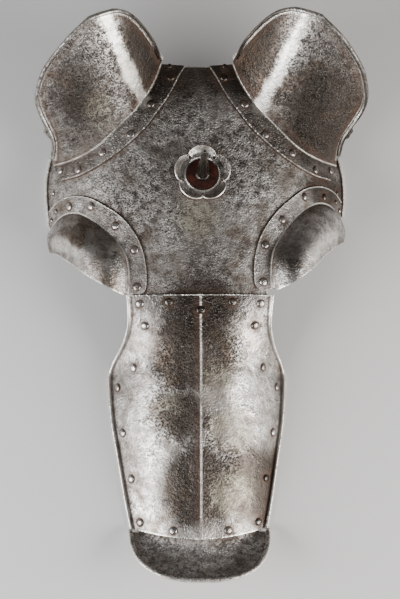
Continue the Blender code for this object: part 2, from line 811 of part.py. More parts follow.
def build_rivets(brow, nasal, nose, ears, eyes):
    brow_size = (BROW_HALF_WIDTH, BROW_LENGTH)
    nasal_size = (NASAL_HALF_WIDTH, -NASAL_LENGTH)
    ear = rivet_row("ear_rivet", EAR_RIVETS, brow_size, flange_lift, 2)
    eye = rivet_row("eye_rivet", EYE_RIVETS, brow_size, flange_lift, 2, step=eye_step)
    wing = rivet_row("wing_rivet", WING_RIVETS, brow_size, brow_lift, 1)
    joint = rivet_row("joint_rivet", JOINT_RIVETS, nasal_size, keel_lift, 2)
    keel = rivet_row("keel_rivet", KEEL_RIVETS, nasal_size, keel_lift, 2, sides=(1,))
    lining = rivet_row("lining_rivet", LINING_RIVETS, nasal_size, keel_lift, 1)
    end = rivet_row("nose_rivet", NOSE_RIVETS, nasal_size, keel_lift, 2)
    half_ear = len(ear) // 2
    half_eye = len(eye) // 2
    drill(brow, ear + eye + wing + joint + keel)
    drill(nasal, joint + keel + lining + end)
    drill(nose, end)
    for i, guard in enumerate(ears):
        drill(guard, ear[i * half_ear : (i + 1) * half_ear])
    for i, guard in enumerate(eyes):
        drill(guard, eye[i * half_eye : (i + 1) * half_eye])


ROSETTE_TURNS = 25
STEM_HOLE = STEM_RADIUS + RIVET_CLEARANCE
# Circles of the rosette out to the foot of its ring: radius, height
ROSETTE_RING = (
    (STEM_HOLE, 0.0),
    (RING_RADIUS - RING_WIDTH, 0.0),
    (RING_RADIUS, RING_HEIGHT),
    (RING_RADIUS + RING_WIDTH, 0.0),
)
PETAL_SHARES = (0.5, 1.0)  # of the way from that foot to the edge of a petal
PETALS = 5
NOTCH = 0.78  # radius of the rosette in a notch, as a share of its radius
PETAL_ROUND = 0.6  # power that gives the petals their full round ends
CUP_ROUND = 1.5  # power with which the petals rise
DISC_SIDES = 16


def petal_radius(angle):
    """Outline of the rosette: five round petals with notches between them."""
    swing = abs(math.cos(PETALS / 2 * (angle - math.pi / 2)))
    return ROSETTE_RADIUS * (NOTCH + (1 - NOTCH) * swing**PETAL_ROUND)


def rosette_point(column, row):
    """Flat in the middle, a ring round the disc, and petals that are cupped upwards."""
    angle = 2 * math.pi * column / ROSETTE_TURNS
    radius, height = ROSETTE_RING[min(row, len(ROSETTE_RING) - 1)]
    if row >= len(ROSETTE_RING):
        share = PETAL_SHARES[row - len(ROSETTE_RING)]
        radius += (petal_radius(angle) - radius) * share
        height = ROSETTE_CUP * share**CUP_ROUND
    return Vector((radius * math.cos(angle), radius * math.sin(angle), ROSETTE_SHEET + height))


def build_rosette(seat):
    rings = len(ROSETTE_RING) + len(PETAL_SHARES) - 1
    sheet = grid_sheet(ROSETTE_TURNS, rings, rosette_point, flip=True)
    bmesh.ops.remove_doubles(sheet, verts=sheet.verts, dist=0.00001)
    rosette = add_part("rosette", sheet, BRIGHT_STEEL, 0.35)
    thicken(rosette, ROSETTE_SHEET)
    rosette.matrix_world = seat
    return rosette


def build_disc(seat):
    """The washer that fills the ring of the rosette, under the spike."""
    edge = (RING_RADIUS - RING_WIDTH) * math.cos(math.pi / ROSETTE_TURNS) - SEAT_GAP
    points = (
        (STEM_HOLE, DISC_THICKNESS),
        (edge, DISC_THICKNESS),
        (edge, 0.0),
        (STEM_HOLE, 0.0),
        (STEM_HOLE, DISC_THICKNESS),
    )
    disc = add_part("rosette_disc", turned_profile(points), RED_LEATHER, 0.8, 0.0)
    turn_round(disc, DISC_SIDES)
    disc.matrix_world = seat @ Matrix.Translation((0.0, 0.0, ROSETTE_SHEET + SEAT_GAP))
    return disc


SPIKE_SIDES = 12
FLUTE = 0.80  # radius in a flute, as a share of the radius on a ridge


def build_spike(seat):
    """A fluted spike on a round collar, with a stem down through rosette and plate."""
    spike_cone = bmesh.new()
    lean = Matrix.Rotation(math.radians(-SPIKE_LEAN), 4, "X")
    aside = Matrix.Rotation(math.radians(-SPIKE_ASIDE), 4, "Y")
    lift = Matrix.Translation((0.0, 0.0, SPIKE_LENGTH / 2 + SPIKE_COLLAR / 2))
    cone = bmesh.ops.create_cone(
        spike_cone, cap_ends=True, segments=SPIKE_SIDES, radius1=SPIKE_RADIUS,
        radius2=SPIKE_TIP_RADIUS, depth=SPIKE_LENGTH,
    )
    for number, point in enumerate(sorted(cone["verts"], key=lambda v: math.atan2(v.co.y, v.co.x))):
        if number // 2 % 2:
            point.co.x *= FLUTE
            point.co.y *= FLUTE
    bmesh.ops.transform(spike_cone, matrix=lean @ aside @ lift, verts=spike_cone.verts)
    foot = 2 * SEAT_GAP + ROSETTE_SHEET + DISC_THICKNESS
    spike = add_part("spike", spike_cone, BRIGHT_STEEL, 0.35)
    points = (
        (0.0, SPIKE_COLLAR),
        (SPIKE_RADIUS + 0.5 * RIVET_CLEARANCE, SPIKE_COLLAR),
        (COLLAR_RADIUS, 0.0),
        (STEM_RADIUS, 0.0),
        (STEM_RADIUS, -foot - LAYER - RIVET_TAIL),
        (0.0, -foot - LAYER - RIVET_TAIL),
    )
    stem = add_cutter("spike_stem", turned_profile(points))
    turn_round(stem, SPIKE_SIDES)
    spike.matrix_world = seat @ Matrix.Translation((0.0, 0.0, foot))
    stem.matrix_world = spike.matrix_world
    cut_with(spike, stem, "UNION")
    return spike


def drill_stem_hole(brow, seat):
    hole = bmesh.new()
    radius = STEM_HOLE / math.cos(math.pi / SPIKE_SIDES)
    bmesh.ops.create_cone(
        hole, cap_ends=True, segments=SPIKE_SIDES, radius1=radius, radius2=radius,
        depth=2 * DRILL_LAYERS * LAYER, matrix=seat,
    )
    cut_with(brow, add_cutter("stem_hole", hole))


def centre_on_origin():
    """Hang every part on an empty that puts the middle of the armour over the origin."""
    bpy.context.view_layer.update()
    graph = bpy.context.evaluated_depsgraph_get()
    points = []
    for part in PARTS.objects:
        solid = part.evaluated_get(graph)
        points.extend(solid.matrix_world @ corner.co for corner in solid.data.vertices)
    root = bpy.data.objects.new("armour_root", None)
    PARTS.objects.link(root)
    for axis in (0, 1):
        ends = [point[axis] for point in points]
        root.location[axis] = -(min(ends) + max(ends)) / 2
    for part in PARTS.objects:
        if part is not root:
            part.parent = root
    for cutter in CUTTERS.objects:
        cutter.parent = root


def build_armour():
    brow = build_brow_plate()
    nasal = build_nasal_plate()
    nose = build_nose_plate()
    ears = [build_ear_guard(side) for side in (-1, 1)]
    eyes = [build_eye_guard(side) for side in (-1, 1)]
    build_rivets(brow, nasal, nose, ears, eyes)
    seat = seat_on(ROSETTE_RIGHT, ROSETTE_UP, brow_lift, ROSETTE_RADIUS)
    drill_stem_hole(brow, seat)
    build_rosette(seat)
    build_disc(seat)
    build_spike(seat)
    centre_on_origin()


build_armour()
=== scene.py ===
# %% [markdown]
# # Steel for a horse's face
#
# A chanfron is the plate armour of a horse's head. This one is made of riveted steel sheet: a broad brow
# plate, a keeled nasal plate, a flared nose plate, guards for ears and eyes, and a rosette with a spike.
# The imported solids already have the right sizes, but their facets are coarse. This lesson makes each
# plate again on the same curves with a fine mesh, and then gives the steel its age.
#
# The frame has to be loaded first. Every later piece is placed against it.

import math
import re
from types import SimpleNamespace

import bmesh
import bpy
import numpy as np
from mathutils import Matrix, Vector, kdtree


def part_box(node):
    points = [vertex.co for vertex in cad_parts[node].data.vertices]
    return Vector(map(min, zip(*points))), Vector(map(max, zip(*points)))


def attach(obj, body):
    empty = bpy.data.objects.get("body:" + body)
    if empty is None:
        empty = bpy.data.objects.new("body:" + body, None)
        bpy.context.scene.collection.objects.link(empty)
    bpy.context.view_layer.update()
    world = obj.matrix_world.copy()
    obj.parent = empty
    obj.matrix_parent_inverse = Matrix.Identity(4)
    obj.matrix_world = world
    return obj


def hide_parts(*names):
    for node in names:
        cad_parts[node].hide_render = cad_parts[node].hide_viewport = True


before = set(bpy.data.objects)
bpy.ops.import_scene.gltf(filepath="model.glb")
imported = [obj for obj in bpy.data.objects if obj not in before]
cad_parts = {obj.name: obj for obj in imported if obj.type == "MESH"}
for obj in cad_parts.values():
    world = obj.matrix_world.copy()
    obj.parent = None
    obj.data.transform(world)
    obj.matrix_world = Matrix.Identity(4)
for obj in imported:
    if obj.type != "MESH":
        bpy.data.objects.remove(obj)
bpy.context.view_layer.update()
nasal_low, nasal_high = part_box("nasal_plate")
KEEL_X = (nasal_low.x + nasal_high.x) / 2
JOINT_Y = 0.00734  # where the brow plate and the nasal plate meet
print("keel at x =", round(KEEL_X, 5), "nasal plate ends at y =", round(nasal_high.y, 5))

# %% [markdown]
# ## The sizes of the sheet
#
# An armourer cuts from patterns. Here the patterns are a few named lengths and tables of shares of
# those lengths, the same ones that the solids were made from. Keeping them as tables, and not as
# points, means that a plate can be meshed as finely as its finish needs.

# %% Lengths of the sheet, in metres, and the patterns of the face
PLATE = 0.0015
PLATE_GAP = 0.0008  # between two plates that lie on each other
SEAT_GAP = 0.0003  # under a rivet head and under the rosette
LAYER = PLATE + PLATE_GAP
FLOOR_SKIN = PLATE  # the outer skin at its lowest, so that the inner one touches the floor
STEP = 0.0005  # a short way to measure a slope over
CROWN_HEIGHT = 0.086
BROW_LENGTH = 0.259
BROW_HALF_WIDTH = 0.168
BROW_OVERLAP = 0.016  # of the brow plate under the nasal plate
BROW_ROUND = 3.0  # a higher power keeps the middle flat and bends the sides
WING_LIP = 0.004
WING_TIP_BELOW = 0.084
WING_TIP_ABOVE = 0.167
LEFT_TUCK = 0.003  # how far the left wing is tucked in
OUTER_BROW = 0.6  # share of the half width from which it is
NASAL_LENGTH = 0.266
NASAL_HALF_WIDTH = 0.094
NASAL_ROUND = 2.2
NASAL_LIP = 0.006
NASAL_END_ARC = 0.014
NASAL_FLAT_FROM = 0.30  # share of the length from which the section stays the same
KEEL_HEIGHT = 0.0035
KEEL_HALF_WIDTH = 0.020
KEEL_START = 0.10  # share of the length where the keel starts to rise
KEEL_GROWTH = 0.10  # share of the length over which it rises
KEEL_SHARP = 1.6

# Each row holds the share of the length and the share of the crown's height or of the half width.
CROWN_LINE = (
    (-1.20, 0.215), (-1.00, 0.330), (-0.70, 0.503), (-0.37, 0.678), (0.00, 0.878),
    (0.23, 0.962), (0.40, 1.000), (0.58, 0.988), (0.76, 0.940), (1.00, 0.840),
)
BROW_SIDE = (
    (0.00, 0.985), (0.36, 0.980), (0.47, 0.994), (0.56, 0.990), (0.66, 0.962), (1.16, 0.950),
)
NASAL_SIDE = (
    (0.00, 0.812), (0.07, 0.796), (0.12, 0.797), (0.17, 0.830), (0.21, 0.880), (0.255, 0.953),
    (0.30, 0.995), (0.35, 1.000), (0.50, 0.970), (0.66, 0.898), (0.82, 0.826), (1.00, 0.730),
)
print("plates", PLATE * 1000, "mm thick")
print("armour", round((BROW_LENGTH + NASAL_LENGTH) * 1000), "mm long down to the nose joint")

# %% [markdown]
# ## Reading a pattern smoothly
#
# A table has few rows, and a straight line between them would show as a kink in polished steel. A
# Hermite curve passes through each row with one slope, so the metal flows. A corner that was filed
# on purpose is kept by giving that row two slopes.

# %% Smooth reading of a table


def smooth_step(t):
    t = min(max(t, 0.0), 1.0)
    return t * t * (3 - 2 * t)


def slope_between(rows, first, last, column):
    return (rows[last][column] - rows[first][column]) / (rows[last][0] - rows[first][0])


def read_table(rows, at, corner=None):
    """The other columns of a table where the first one is at. A corner row keeps its two slopes."""
    at = min(max(at, rows[0][0]), rows[-1][0])
    i = 0
    while at > rows[i + 1][0]:
        i += 1
    width = rows[i + 1][0] - rows[i][0]
    t = (at - rows[i][0]) / width
    fall = 1 - smooth_step(t)
    values = []
    for column in range(1, len(rows[0])):
        before = i if i == corner else max(i - 1, 0)
        after = i + 1 if i + 1 == corner else min(i + 2, len(rows) - 1)
        leave = slope_between(rows, before, i + 1, column) * width
        arrive = slope_between(rows, i, after, column) * width
        bend = t * (1 - t) * (leave * (1 - t) - arrive * t)
        values.append(rows[i][column] * fall + rows[i + 1][column] * (1 - fall) + bend)
    return values


print("brow crown half way up:", round(CROWN_HEIGHT * read_table(CROWN_LINE, 0.5)[0] * 1000, 1), "mm")

# %% [markdown]
# ## One face under all the plates
#
# The armourer beats every plate over the same shape, the horse's face. So one function gives the
# height of that face, and each plate is the face lifted square to itself by its own layer. Plates made
# this way lie on each other with an even gap, which a separate shape for each plate would not give.

# %% The face and the layers on it


def place_along(y):
    return y / BROW_LENGTH if y > 0 else y / NASAL_LENGTH


def brow_half_width(y):
    return BROW_HALF_WIDTH * read_table(BROW_SIDE, place_along(y))[0]


def nasal_half_width(y):
    return NASAL_HALF_WIDTH * read_table(NASAL_SIDE, -place_along(y))[0]


def face_fall(x, y):
    broad = (abs(x) / brow_half_width(max(y, 0.0))) ** BROW_ROUND
    narrow_from = max(-place_along(y), NASAL_FLAT_FROM)
    narrow = (abs(x) / nasal_half_width(-narrow_from * NASAL_LENGTH)) ** NASAL_ROUND
    share = smooth_step(-place_along(y) / NASAL_FLAT_FROM)
    return min(broad + (narrow - broad) * share, 1.0)


def face_height(x, y):
    crown = CROWN_HEIGHT * read_table(CROWN_LINE, place_along(y))[0]
    return FLOOR_SKIN + (crown - FLOOR_SKIN) * (1 - face_fall(x, y))


def face_normal(x, y):
    across = (face_height(x + STEP, y) - face_height(x - STEP, y)) / (2 * STEP)
    along = (face_height(x, y + STEP) - face_height(x, y - STEP)) / (2 * STEP)
    return Vector((-across, -along, 1.0)).normalized()


def on_face(x, y, lift=0.0):
    return Vector((x, y, face_height(x, y))) + face_normal(x, y) * lift


def brow_lift(x, y):
    return -LAYER * (1 - face_fall(x, y) ** 2)


def flange_lift(x, y):
    return brow_lift(x, y) + LAYER


def keel_lift(x, y):
    start = smooth_step((-place_along(y) - KEEL_START) / KEEL_GROWTH)
    side = max(1 - abs(x) / KEEL_HALF_WIDTH, 0.0)
    return KEEL_HEIGHT * start * side**KEEL_SHARP


def to_side(side, point):
    """The same point on the right side or on the left one, whose wing is tucked in a little."""
    outer = smooth_step((point.x / BROW_HALF_WIDTH - OUTER_BROW) / (1 - OUTER_BROW))
    tuck = LEFT_TUCK * outer if side < 0 else 0.0
    return Vector((side * (point.x - tuck), point.y, point.z))


print("face over the joint:", round(face_height(0.0, 0.0) * 1000, 1), "mm above the floor")

# %% [markdown]
# ## Two ways to make a sheet
#
# Sheet metal is a surface with one thickness. A guard starts as a flat grid whose points are sent to
# their places, and a Solidify modifier thickens it on the inner side, which suits a sheet that is
# rolled over. The brow plate and the nasal plate lie on the floor with their lips, where the inside
# has to be flat. So these two are drawn as a closed sheet, with an outer and an inner face.

# %% Draw a sheet


def grid_sheet(columns, rows, place, flip=False):
    sheet = bmesh.new()
    bmesh.ops.create_grid(sheet, x_segments=columns, y_segments=rows, size=1.0)
    for point in sheet.verts:
        column = round((point.co.x + 1) / 2 * columns)
        row = round((point.co.y + 1) / 2 * rows)
        point.co = place(column, row)
    if flip:
        bmesh.ops.reverse_faces(sheet, faces=sheet.faces)
    return sheet


def thick_sheet(columns, rows, outer, inner, open_side=False):
    """A closed sheet between an outer and an inner face. An open side is left for a mirror."""
    shape = bmesh.new()
    faces = []
    for face in (outer, inner):
        grid = [[shape.verts.new(face(c, r)) for r in range(rows + 1)] for c in range(columns + 1)]
        faces.append(grid)
    top, base = faces
    for c in range(columns):
        for r in range(rows):
            shape.faces.new((top[c][r], top[c + 1][r], top[c + 1][r + 1], top[c][r + 1]))
            shape.faces.new((base[c][r], base[c][r + 1], base[c + 1][r + 1], base[c + 1][r]))
        shape.faces.new((top[c + 1][0], top[c][0], base[c][0], base[c + 1][0]))
        shape.faces.new((top[c][rows], top[c + 1][rows], base[c + 1][rows], base[c][rows]))
    for c in (columns,) if open_side else (0, columns):
        for r in range(rows):
            corners = (top[c][r + 1], top[c][r], base[c][r], base[c][r + 1])
            shape.faces.new(corners if c == 0 else corners[::-1])
    return shape


print("sheets are drawn as a grid or as a closed sheet")

# %% [markdown]
# ## From a sheet to a piece
#
# Modifiers keep a piece easy to change, but wear has to be written into the points of the final mesh.
# So the modifiers are made real once the piece is whole. Its faces are shaded smooth, and only edges
# that turn by more than a set angle stay sharp, as they do on a filed border.

# %% Finish a piece
HERE = Vector((KEEL_X, JOINT_Y, 0.0))
SHARP_ANGLE = math.radians(40)
HALVES_MEET = 0.00005
PIECES = []


def start_piece(name, shape):
    mesh = bpy.data.meshes.new(name)
    shape.to_mesh(mesh)
    shape.free()
    piece = bpy.data.objects.new(name, mesh)
    bpy.context.scene.collection.objects.link(piece)
    return piece


def thicken(piece, thickness=PLATE):
    solid = piece.modifiers.new("thickness", "SOLIDIFY")
    solid.thickness = thickness
    solid.offset = -1.0
    solid.use_even_offset = True


def mirror_halves(piece):
    mirror = piece.modifiers.new("other half", "MIRROR")
    mirror.merge_threshold = HALVES_MEET


def make_real(piece):
    """Turn the modifiers into mesh, move it to its place and shade it."""
    graph = bpy.context.evaluated_depsgraph_get()
    graph.update()
    mesh = bpy.data.meshes.new_from_object(piece.evaluated_get(graph))
    piece.modifiers.clear()
    piece.data = mesh
    mesh.transform(Matrix.Translation(HERE) @ piece.matrix_world)
    piece.matrix_world = Matrix.Identity(4)
    mesh.name = piece.name
    mesh.shade_smooth()
    mesh.set_sharp_from_angle(angle=SHARP_ANGLE)
    PIECES.append(piece)


def join_frame(piece, slot, *nodes):
    """Ride on the one rigid body, and stand for the solids of this piece. The slot is not used."""
    make_real(piece)
    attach(piece, "root")
    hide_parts(*nodes)
    print(piece.name, len(piece.data.polygons), "faces, stands for", len(nodes), "solids")


def side_name(side):
    return "right" if side > 0 else "left"


print("pieces are placed from", tuple(round(v, 5) for v in HERE))

# %% [markdown]
# ## Guards for ears and eyes: the pattern
#
# A guard is one sheet with three zones. The flange lies on the brow plate and takes the rivets. At the
# crease the sheet turns up into the wall. An ear guard's wall ends in a rolled rim. Sections across
# the guard hold the crease, the border of the flange and the rim, and the sheet is drawn between
# them, as an armourer would cut it from a paper pattern and then raise it.

# %% Lengths of the guards, in metres
EAR_OUT = 0.0608
EAR_BACK = 0.0937
EAR_RISE = 0.110
EAR_BULGE = 0.007
EAR_SKEW = 1.0  # the bulge is in the middle of the wall
EAR_TWIST = 0.003
LEFT_EAR_OUT_SHARE = 0.96
LEFT_EAR_BACK_SHARE = 0.915
EYE_OUT = 0.023
EYE_DOWN = 0.0548
EYE_RISE = 0.0143
EYE_BULGE = 0.015
EYE_SKEW = 0.75  # the bulge is nearer to the crease
EYE_STEP = 0.0055  # how far the right eye guard sits above the middle, and the left one below it
EYE_STEP_FROM = 0.45  # shares of the half width between which this step reaches its full height
EYE_STEP_OVER = 0.3
print("an ear guard rises", EAR_RISE * 1000, "mm and an eye guard", EYE_RISE * 1000, "mm")

# %% [markdown]
# ## Sections across a guard
#
# A row of the tables is one cut across the guard, from the inner end of its flange to the outer one.
# Its columns are the crease across and along, the border of the flange across and along, and the rim
# seen from the crease: outwards, along and up. The first four are shares of the brow plate's half
# width and length, the last three of the lengths above.

# %% Sections of the guards
EAR_SECTIONS = (
    (0.242, 1.008, 0.077, 1.000, -0.02, 0.045, 0.110),
    (0.259, 0.973, 0.122, 0.952, 0.18, 0.325, 0.340),
    (0.295, 0.919, 0.167, 0.894, 0.45, 0.646, 0.670),
    (0.342, 0.867, 0.214, 0.844, 0.63, 0.817, 0.885),
    (0.410, 0.807, 0.277, 0.788, 0.71, 0.939, 0.965),
    (0.479, 0.763, 0.339, 0.734, 0.78, 1.000, 1.000),
    (0.554, 0.718, 0.417, 0.683, 0.94, 0.927, 0.930),
    (0.639, 0.671, 0.512, 0.632, 1.00, 0.861, 0.810),
    (0.720, 0.639, 0.613, 0.589, 0.97, 0.770, 0.680),
    (0.798, 0.621, 0.708, 0.558, 0.81, 0.566, 0.510),
    (0.875, 0.612, 0.804, 0.539, 0.27, 0.280, 0.280),
    (0.952, 0.610, 0.905, 0.535, -0.02, 0.080, 0.090),
)
EYE_SECTIONS = (
    (0.977, 0.348, 0.985, 0.434, 0.04, -0.513, 0.93),
    (0.921, 0.390, 0.938, 0.463, 0.28, -0.760, 0.52),
    (0.865, 0.403, 0.875, 0.476, 0.51, -0.879, 0.27),
    (0.796, 0.395, 0.798, 0.472, 0.70, -0.965, 0.09),
    (0.728, 0.368, 0.708, 0.449, 0.81, -0.989, 0.24),
    (0.660, 0.331, 0.616, 0.405, 0.91, -1.000, 0.59),
    (0.589, 0.283, 0.526, 0.355, 1.00, -0.935, 0.78),
    (0.533, 0.234, 0.457, 0.300, 0.89, -0.859, 1.00),
    (0.489, 0.181, 0.401, 0.237, 0.73, -0.723, 0.79),
    (0.471, 0.127, 0.367, 0.166, 0.48, -0.528, 0.41),
    (0.467, 0.071, 0.354, 0.085, 0.30, -0.284, 0.16),
    (0.473, 0.017, 0.363, 0.012, 0.20, -0.020, 0.06),
)
EAR_CORNER = 5  # the section where the rim of an ear guard turns a corner


def number_rows(rows):
    return [(float(i), *row) for i, row in enumerate(rows)]


EAR_ROWS = number_rows(EAR_SECTIONS)
EYE_ROWS = number_rows(EYE_SECTIONS)


def point_of(rows, section, corner=None):
    cells = read_table(rows, section)
    crease = Vector((cells[0] * BROW_HALF_WIDTH, cells[1] * BROW_LENGTH))
    border = Vector((cells[2] * BROW_HALF_WIDTH, cells[3] * BROW_LENGTH))
    return crease, border, Vector(read_table(rows, section, corner)[4:7])


def eye_step(side):
    def step(x):
        share = smooth_step((x / BROW_HALF_WIDTH - EYE_STEP_FROM) / EYE_STEP_OVER)
        return side * EYE_STEP * (0.5 + 0.5 * share)

    return step


def no_step(x):
    return 0.0


print("sections of an ear guard:", len(EAR_ROWS), "and of an eye guard:", len(EYE_ROWS))

# %% [markdown]
# ## The curved face of a guard
#
# A wall that ran straight from crease to rim would look like folded paper. The armourer dished it, so
# the wall gets a bulge that follows a sine: nothing at the crease, most between, nothing at the rim.
# One function serves the four guards, because they differ only in their tables and lengths.

# %% The outer face of a guard


def guard_shape(rows, reach, bulge, bulge_skew, step, corner=None, twist=0.0):
    """The outer face of a right-hand guard: 0 is the flange's border, 1 the crease and 2 the rim."""

    def shape(section, place):
        crease, border, offset = point_of(rows, section, corner)
        flat = border.lerp(crease, min(place, 1.0))
        foot = on_face(flat.x, flat.y, flange_lift(flat.x, flat.y))
        if place > 1:
            t = place - 1
            rise = Vector((offset.x * reach[0], offset.y * reach[1], offset.z * reach[2]))
            rise.y += offset.x * twist
            crown = math.sin(math.pi * t**bulge_skew) * (rise.length / Vector(reach).length) ** 2
            foot += rise * t + face_normal(flat.x, flat.y) * bulge * crown
        return foot + Vector((0.0, step(flat.x), 0.0))

    return shape


def ear_shape(side):
    out, back = (1.0, 1.0) if side > 0 else (LEFT_EAR_OUT_SHARE, LEFT_EAR_BACK_SHARE)
    reach = (EAR_OUT * out, EAR_BACK * back, EAR_RISE)
    return guard_shape(EAR_ROWS, reach, EAR_BULGE, EAR_SKEW, no_step, EAR_CORNER, -side * EAR_TWIST)


def eye_shape(side):
    return guard_shape(EYE_ROWS, (EYE_OUT, EYE_DOWN, EYE_RISE), EYE_BULGE, EYE_SKEW, eye_step(side))


print("rim of the right ear guard, half way:", [round(v, 4) for v in ear_shape(1)(5.5, 2.0)])

# %% [markdown]
# ## Ear guards
#
# The cup of each ear is open towards the poll, and its rim is turned outwards in a hollow roll that
# stiffens it. A bevel could fake the roll, but a real one has an inside and an end, so the grid runs on
# past the rim and is wound round a small circle.

# %% Rolled rims and the two ear guards
ROLL_RADIUS = 0.0014
ROLL_TURN = 270.0
ROLL_STEP = 0.05
ROLL_CUTS = 14
FLANGE_CUTS = 9
EAR_WALL_CUTS = 30
SECTION_CUTS = 11
GUARDS = {}  # by name: the outer face, the side and the number of the last section


def rolled(shape, section, turn, last_place=2.0, hand=1):
    """The point of a rolled rim after a turn in degrees, square to the rim."""
    rim = shape(section, last_place)
    before = shape(section, last_place - ROLL_STEP)
    beside = shape(section + ROLL_STEP, last_place) - shape(section - ROLL_STEP, last_place)
    ahead = (rim - before).normalized()
    outward = beside.cross(ahead).normalized() * hand
    angle = math.radians(turn)
    return rim + ROLL_RADIUS * (ahead * math.sin(angle) + outward * (1 - math.cos(angle)))


def raise_guard(kind, side, shape, rows, columns, place):
    """Draw a guard on its grid, thicken it and keep its face for the wear lines."""
    last = len(rows) - 1
    name = f"{kind}_guard_{side_name(side)}"
    sheet = grid_sheet(columns, last * SECTION_CUTS, place, flip=side > 0)
    guard = start_piece(f"{name}_fine", sheet)
    thicken(guard)
    GUARDS[guard.name] = (shape, side, last)
    join_frame(guard, "plate_steel", name)


def build_ear_guard(side):
    shape = ear_shape(side)
    rim_column = FLANGE_CUTS + EAR_WALL_CUTS

    def place(column, row):
        section = row / SECTION_CUTS
        if column <= FLANGE_CUTS:
            point = shape(section, column / FLANGE_CUTS)
        elif column <= rim_column:
            point = shape(section, 1 + (column - FLANGE_CUTS) / EAR_WALL_CUTS)
        else:
            point = rolled(shape, section, ROLL_TURN * (column - rim_column) / ROLL_CUTS)
        return to_side(side, point)

    raise_guard("ear", side, shape, EAR_ROWS, rim_column + ROLL_CUTS, place)


for side in (-1, 1):
    build_ear_guard(side)

# %% [markdown]
# ## Eye guards
#
# These are half-domes with a free lower edge, so that the horse can see down and forward. They need
# no roll, because the edge is only filed and worn bright. The flange of each one ends in a rounded
# corner at the joint, which the grid follows by starting its first columns further in.

# %% The two eye guards
EYE_WALL_CUTS = 28
CORNER_FROM = 10.55  # section from which the flange's end is rounded
CORNER_DEEP = 0.34  # share of the flange's width that the round corner takes


def build_eye_guard(side):
    shape = eye_shape(side)
    corner_length = len(EYE_ROWS) - 1 - CORNER_FROM

    def place(column, row):
        section = row / SECTION_CUTS
        if column <= FLANGE_CUTS:
            round_off = min(max((section - CORNER_FROM) / corner_length, 0.0), 1.0)
            first = CORNER_DEEP * (1 - math.sqrt(1 - round_off**2))
            return to_side(side, shape(section, first + (1 - first) * column / FLANGE_CUTS))
        return to_side(side, shape(section, 1 + (column - FLANGE_CUTS) / EYE_WALL_CUTS))

    raise_guard("eye", side, shape, EYE_ROWS, FLANGE_CUTS + EYE_WALL_CUTS, place)


for side in (-1, 1):
    build_eye_guard(side)

# %% [markdown]
# ## Brow plate: the sheet
#
# The broad plate is beaten over the forehead, and its wings end in a turned edge. The turned edge is a
# short profile that is carried along the border. Its inner face lies flat, so that the armour rests on it.

# %% The brow plate before it is cut
BROW_CELLS = 76
BROW_ROWS = 150
EDGE_PROFILE = (
    (0.12, 0.00), (0.26, 0.01), (0.36, 0.10), (0.44, 0.22), (0.54, 0.32), (0.66, 0.36),
    (0.78, 0.33), (0.88, 0.24), (0.95, 0.11), (1.00, -0.06),
)  # of a turned edge: share of its width outwards, and of its width upwards
BROW_MIDDLE = BROW_CELLS + len(EDGE_PROFILE)  # the column on the plate's middle line


def brow_place(column, row):
    """Side, x, y and the number of the point on the turned edge, which is 0 on the plate."""
    number = abs(column - BROW_MIDDLE)
    y = -BROW_OVERLAP + (BROW_LENGTH + BROW_OVERLAP) * row / BROW_ROWS
    x = brow_half_width(y) * min(number / BROW_CELLS, 1.0)
    return 1 if column >= BROW_MIDDLE else -1, x, y, max(number - BROW_CELLS, 0)


def brow_outside(column, row):
    side, x, y, number = brow_place(column, row)
    point = on_face(x, y, brow_lift(x, y))
    if number:
        out, up = EDGE_PROFILE[number - 1]
        point = Vector((x + WING_LIP * out, y, FLOOR_SKIN + WING_LIP * up))
    return to_side(side, point)


def brow_inside(column, row):
    side, x, y, number = brow_place(column, row)
    point = on_face(x, y, brow_lift(x, y) - PLATE)
    if number:
        point = Vector((x + WING_LIP * EDGE_PROFILE[number - 1][0], y, 0.0))
    point.z = max(point.z, 0.0)
    return to_side(side, point)


print("wing lip at the joint:", [round(v, 4) for v in brow_outside(2 * BROW_MIDDLE, 0)])

# %% [markdown]
# ## Brow plate: the cut-outs
#
# The plate is cut away under the ear and eye guards, so that ears and eyes have room. Cutting the
# finished sheet with tall blocks gives clean edges where the saw went. The blocks follow the same
# creases as the guards, a little way under each flange, so that the two always fit.

# %% Cut the brow plate
CUT_BACK = 0.24  # share of the flange's width that the cut keeps from the crease
CUT_SAMPLES = 5  # points of a cut between two sections
EAR_CUT_LAST = 9.6  # section where the cut under an ear guard ends
EAR_CUT_TIP = 0.90  # share of the half width where it turns outwards
OUTSIDE = 1.5  # how many times the plate's size a block reaches


def prism(outline):
    """A tall block with a flat outline, from below the plate to above it."""
    block = bmesh.new()
    foot = [block.verts.new((point.x, point.y, -CROWN_HEIGHT)) for point in outline]
    base = block.faces.new(foot)
    raised = bmesh.ops.extrude_face_region(block, geom=[base])["geom"]
    tops = [item for item in raised if isinstance(item, bmesh.types.BMVert)]
    bmesh.ops.translate(block, verts=tops, vec=(0.0, 0.0, 3 * CROWN_HEIGHT))
    bmesh.ops.recalc_face_normals(block, faces=block.faces)
    return block


def cut_edge(rows, last, side, step):
    edge = []
    for number in range(round(last * CUT_SAMPLES) + 1):
        crease, border, _ = point_of(rows, number / CUT_SAMPLES)
        spot = crease.lerp(border, CUT_BACK)
        edge.append(to_side(side, Vector((spot.x, spot.y + step(spot.x), 0.0))))
    return edge


def ear_block(side):
    outside, above = side * OUTSIDE * BROW_HALF_WIDTH, OUTSIDE * BROW_LENGTH
    edge = cut_edge(EAR_ROWS, EAR_CUT_LAST, side, no_step)
    tip = Vector((side * EAR_CUT_TIP * BROW_HALF_WIDTH, WING_TIP_ABOVE))
    corners = [tip, Vector((outside, WING_TIP_ABOVE)), Vector((outside, above))]
    return prism([Vector((edge[0].x, above)), *edge, *corners])


